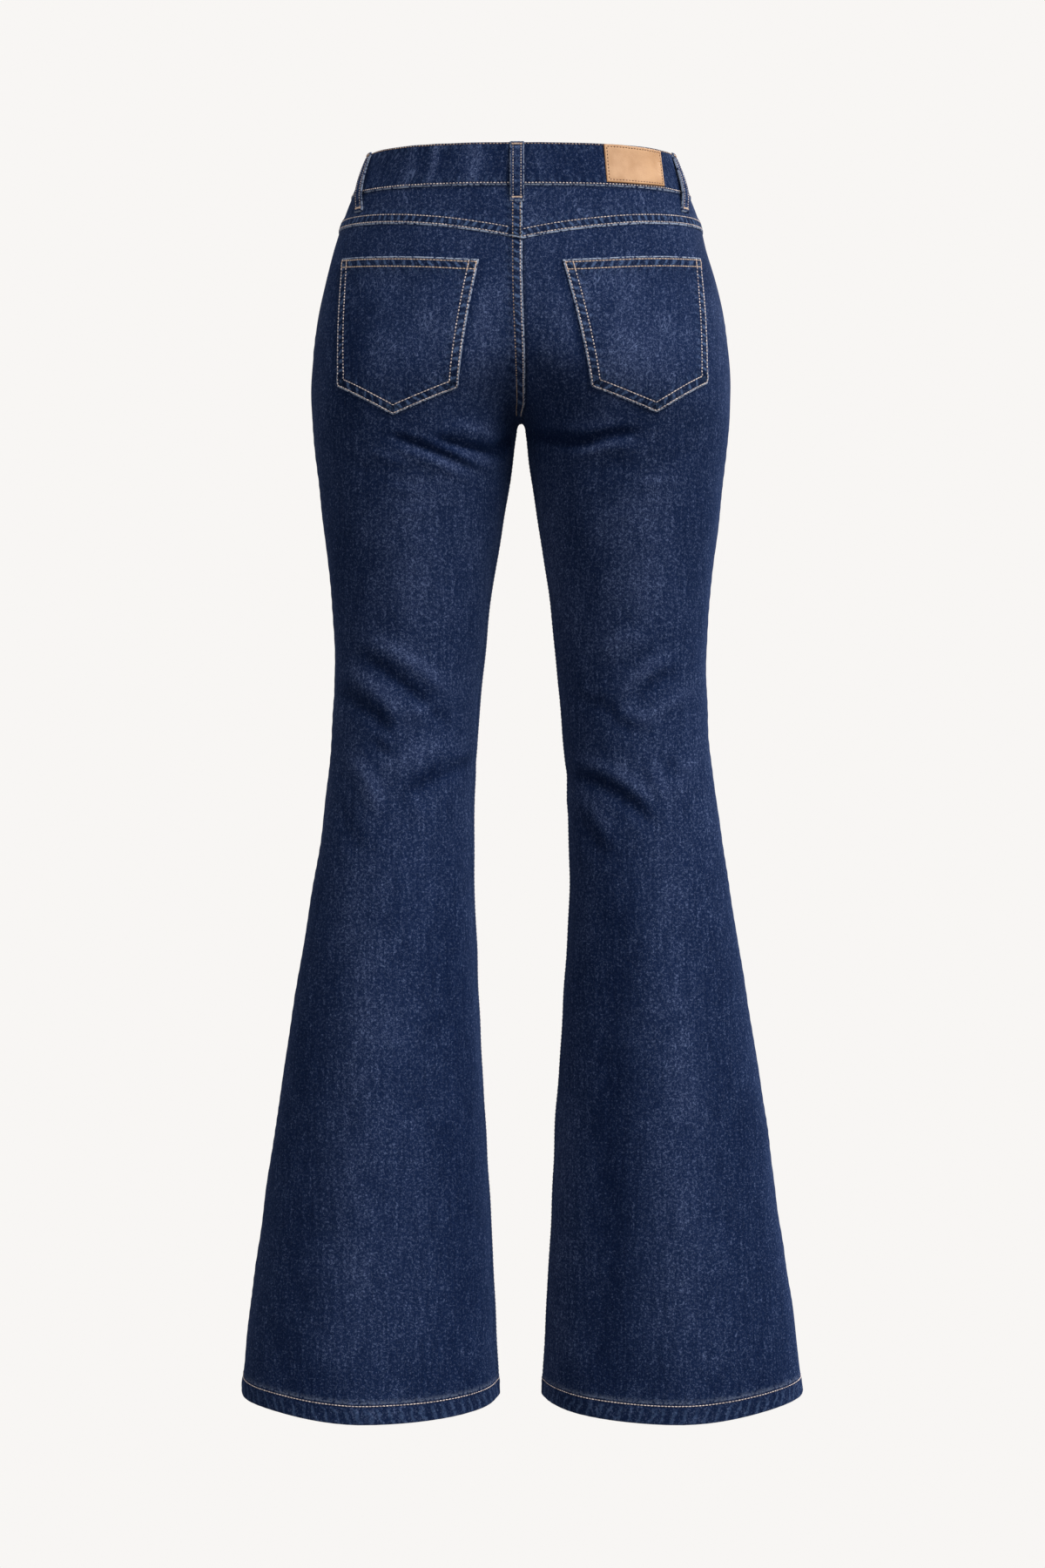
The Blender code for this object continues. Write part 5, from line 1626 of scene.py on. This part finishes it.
def on_loop(place, across, down, extra=0.0):
    """Points on a belt loop, by millimetres from its inner edge and the share of its length down from its top."""
    front, top_along, foot_along, length = place
    side = float(np.sign(top_along))
    waist_length = FRONT_WAIST_LENGTH if front else BACK_WAIST_LENGTH
    across, down = np.broadcast_arrays(np.asarray(across, dtype=float), np.asarray(down, dtype=float))
    along = abs(top_along) + (abs(foot_along) - abs(top_along)) * down + across - LOOP_WIDTH / 2
    height = float(waist_edge(front, abs(top_along) / waist_length)) - length * down
    on_waistband = BAND_LIFT * (1 - smooth_step(down, *LOOP_OFF_BAND))
    free = np.clip((down - LOOP_ARCH[0]) / (LOOP_ARCH[1] - LOOP_ARCH[0]), 0, 1)
    arch = np.sin(math.pi * free) ** LOOP_ARCH_FULLNESS
    edge, run = np.minimum(across, LOOP_WIDTH - across), down * length
    ends = dent(run, 0.5) + dent(length - run, 0.5)
    wave = pucker(run * 1.2)
    relief = (-0.7 * dent(edge, 0.45) - 0.30 * dent(edge - LOOP_ROW, 0.6) + 0.16 * wave * dent(edge - 4.5, 2.0)
              - 0.5 * ends - 0.35 * (dent(run - 3.2, 1.0) + dent(length - run - 3.2, 1.0)))
    lift = on_waistband + SEAM_GAP + LOOP_STAND_OFF * arch + LOOP_WALL + relief
    points = on_cloth(front, side, along, height, lift + extra)
    thinner = 0.7 * dent(edge, 0.45) + 0.5 * ends
    fray = np.minimum(0.60 - 0.60 * smooth_step(edge, 0.4, 1.4) + ends, 1.0)
    # painted shade along the loop's stitch rows and its rolled edges
    groove = 0.7 * dent(edge - LOOP_ROW, 0.6) + 0.5 * dent(edge, 0.8)
    marks = marks_of(run, rub=0.10 * wave + 0.05, fray=fray, groove=groove, ladder=0.4 * dent(edge - 5.0, 2.2), run=run)
    return points, LOOP_WALL - thinner, marks, along * side + 900, height


for name, place in BELT_LOOPS.items():
    def lay(column, row):
        return on_loop(place, strip_place(LOOP_ACROSS, column, LOOP_WIDTH), row / (LOOP_LEVELS - 1))

    loop = dress(cloth_shell("denim_loop_" + name, len(LOOP_ACROSS[0]), LOOP_LEVELS, lay, DENIM, DENIM),
                 "belt_loop_" + name)
    place[3] * MM
    down = np.linspace(0.03, 0.97, 200)
    sew("stitches_loop_" + name, [on_loop(place, row, down)[0] for row in (LOOP_ROW, LOOP_WIDTH - LOOP_ROW)],
        THREAD_PALE, pitch=2.4, length=1.9, thick=0.7)
    across = np.linspace(1.6, LOOP_WIDTH - 1.6, 60)
    sew("tacks_loop_" + name, [on_loop(place, across, end / place[3], 0.2)[0] for end in (2.2, place[3] - 3.2)],
        THREAD_GOLD, pitch=0.55, length=1.9, thick=0.6, across=True)

# ---------------------------------------------------------------------------------------------------------------------
# Side seam allowances. Inside each side seam the edges of the front and the back are overlocked together and pressed
# to the back, which closes the seam from the waistband to the hem.
ALLOWANCE_START = -4.0   # measured from the seam towards the back
ALLOWANCE_WIDTH = 15.0
ALLOWANCE_WALL = 0.8
ALLOWANCE_LIFT = -1.75
ALLOWANCE_GRID = (6, 260)
ALLOWANCE_TOP = float(band_foot(True, 1.0)) + 1.0
ALLOWANCE_DROP = ALLOWANCE_TOP - HEM_HEIGHT - HEM_RISE_SIDE - HEM_BAND


def allowance_shell(name, side):
    def lay(column, row):
        toward_back = ALLOWANCE_START + ALLOWANCE_WIDTH * column / (ALLOWANCE_GRID[0] - 1)
        height = ALLOWANCE_TOP - ALLOWANCE_DROP * row / (ALLOWANCE_GRID[1] - 1)
        front = toward_back < 0
        along = face_length(front, height) - np.abs(toward_back)
        points = on_cloth(front, side, along, height, ALLOWANCE_LIFT)
        return points, ALLOWANCE_WALL, no_marks(along), toward_back, height
    return cloth_shell(name, *ALLOWANCE_GRID, lay, INSIDE)


for hand, side in HANDS.items():
    allowance = dress(allowance_shell("denim_allowance_" + hand, side))

# ---------------------------------------------------------------------------------------------------------------------
# Button. A plain pressed brass cap on a short shank, through a buttonhole worked in thread at the waistband's left
# end.
BUTTON_FROM_MIDDLE = 5.0
BUTTON_SIDES = 64
BUTTON_PROFILE = (
    # radius and rise: the shank
    (0.0, 0.0), (3.0, 0.0), (3.0, 1.0),
    # the underside and the rolled rim
    (7.5, 1.0), (8.2, 1.2), (8.5, 1.8), (8.5, 2.4), (8.25, 2.95), (7.8, 3.25), (7.2, 3.25),
    # the dished cap
    (6.7, 3.0), (6.3, 2.72), (5.6, 2.68), (4.4, 2.85), (3.0, 3.05), (1.5, 3.17), (0.0, 3.2),
)
HOLE_LENGTH = 21.0
HOLE_HALF_WIDTH = 1.5
HOLE_ROUNDING = 0.35
HOLE_SHIFT = 5.0
button_build = bmesh.new()
rings = [button_build.verts.new((radius * MM, 0, rise * MM)) for radius, rise in BUTTON_PROFILE]
edges = [button_build.edges.new(pair) for pair in zip(rings, rings[1:])]
bmesh.ops.spin(button_build, geom=rings + edges, cent=(0, 0, 0), axis=(0, 0, 1), angle=math.tau, steps=BUTTON_SIDES,
               use_merge=True, use_duplicate=False)
bmesh.ops.remove_doubles(button_build, verts=button_build.verts[:], dist=0.01 * MM)
button_height = float(waist_edge(True, 0.0)) - BAND_HEIGHT / 2
button_lifts = BAND_LIFT + SEAM_GAP + np.array((0.0, 10.0))
seat, above = (Vector(point) for point in on_cloth(True, 1.0, BUTTON_FROM_MIDDLE, button_height, button_lifts))
turn = (above - seat).to_track_quat("Z", "Y").to_matrix().to_4x4()
turn.translation = seat
bmesh.ops.transform(button_build, matrix=turn, verts=button_build.verts[:])
dress(add_piece("button_brass", button_build, [BRASS]), "waist_button")

hole_turn = np.linspace(0, math.tau, 240)
hole_along = HOLE_LENGTH / 2 * np.sign(np.cos(hole_turn)) * np.abs(np.cos(hole_turn)) ** HOLE_ROUNDING
hole_rise = HOLE_HALF_WIDTH * np.sin(hole_turn)
hole_around = 2 - (BUTTON_FROM_MIDDLE + HOLE_SHIFT + hole_along) / FRONT_WAIST_LENGTH
hole_points = on_band(hole_around, BAND_HEIGHT / 2 + hole_rise, 0.15)[0]
sew("buttonhole", [hole_points], THREAD_TAN, pitch=0.5, length=1.9, thick=0.6, across=True)

# ---------------------------------------------------------------------------------------------------------------------
# The camera, a plain pale floor and backdrop, and soft studio light.
CAMERA_PLACE = (-0.0012, 3.209, -0.545)
camera_data = bpy.data.cameras.new("camera")
camera_data.lens, camera_data.sensor_width = 85.0, 36.0
camera = put_in_scene("camera", camera_data)
camera.location = CAMERA_PLACE
camera.rotation_euler = (math.pi / 2, 0.0, math.pi)
bpy.context.scene.camera = camera

BACKDROP = (0.939, 0.921, 0.904, 1)
AMBIENT = 0.29
FLOOR_SIZE, FLOOR_HEIGHT = 4.0, -1.25


def glow_strength(tree):
    """Full to the camera, and less as a light."""
    return wire(tree, "LightPath", output="Is Camera Ray") * (1.0 - AMBIENT) + AMBIENT


world = bpy.data.worlds.new("studio")
world.use_nodes = True
bpy.context.scene.world = world
feed(world.node_tree.nodes["Background"], {"Color": BACKDROP, "Strength": glow_strength(world.node_tree)})

floor_build = bmesh.new()
bmesh.ops.create_grid(floor_build, x_segments=1, y_segments=1, size=FLOOR_SIZE)
bmesh.ops.translate(floor_build, verts=floor_build.verts[:], vec=(0, 0, FLOOR_HEIGHT))
floor_material, tree, shader = start_material("floor")
tree.nodes.remove(shader)
glow = wire(tree, "Emission", {"Color": BACKDROP, "Strength": glow_strength(tree)})
feed(tree.nodes["Material Output"], {"Surface": glow})
floor = put_in_scene("floor", mesh_of("floor", floor_build), [floor_material])

# Softboxes far off, so that the light is even from waist to hem: the way that each looks from, its angle and strength.
LAMPS = {
    "key": ((-0.587, 0.492, 0.643), 0.90, 3.4),
    "fill": ((0.30, 1.00, 0.10), 1.20, 0.50),
    "front_key": ((-0.35, -0.70, 0.62), 0.90, 2.6),
    "front_fill": ((0.30, -1.00, 0.10), 1.20, 0.50),
}
for name, (place, angle, strength) in LAMPS.items():
    lamp_data = bpy.data.lights.new(name, "SUN")
    lamp_data.angle, lamp_data.energy = angle, strength
    put_in_scene(name, lamp_data).rotation_euler = Vector(place).to_track_quat("Z", "Y").to_euler()
bpy.context.scene.view_settings.view_transform = "Standard"
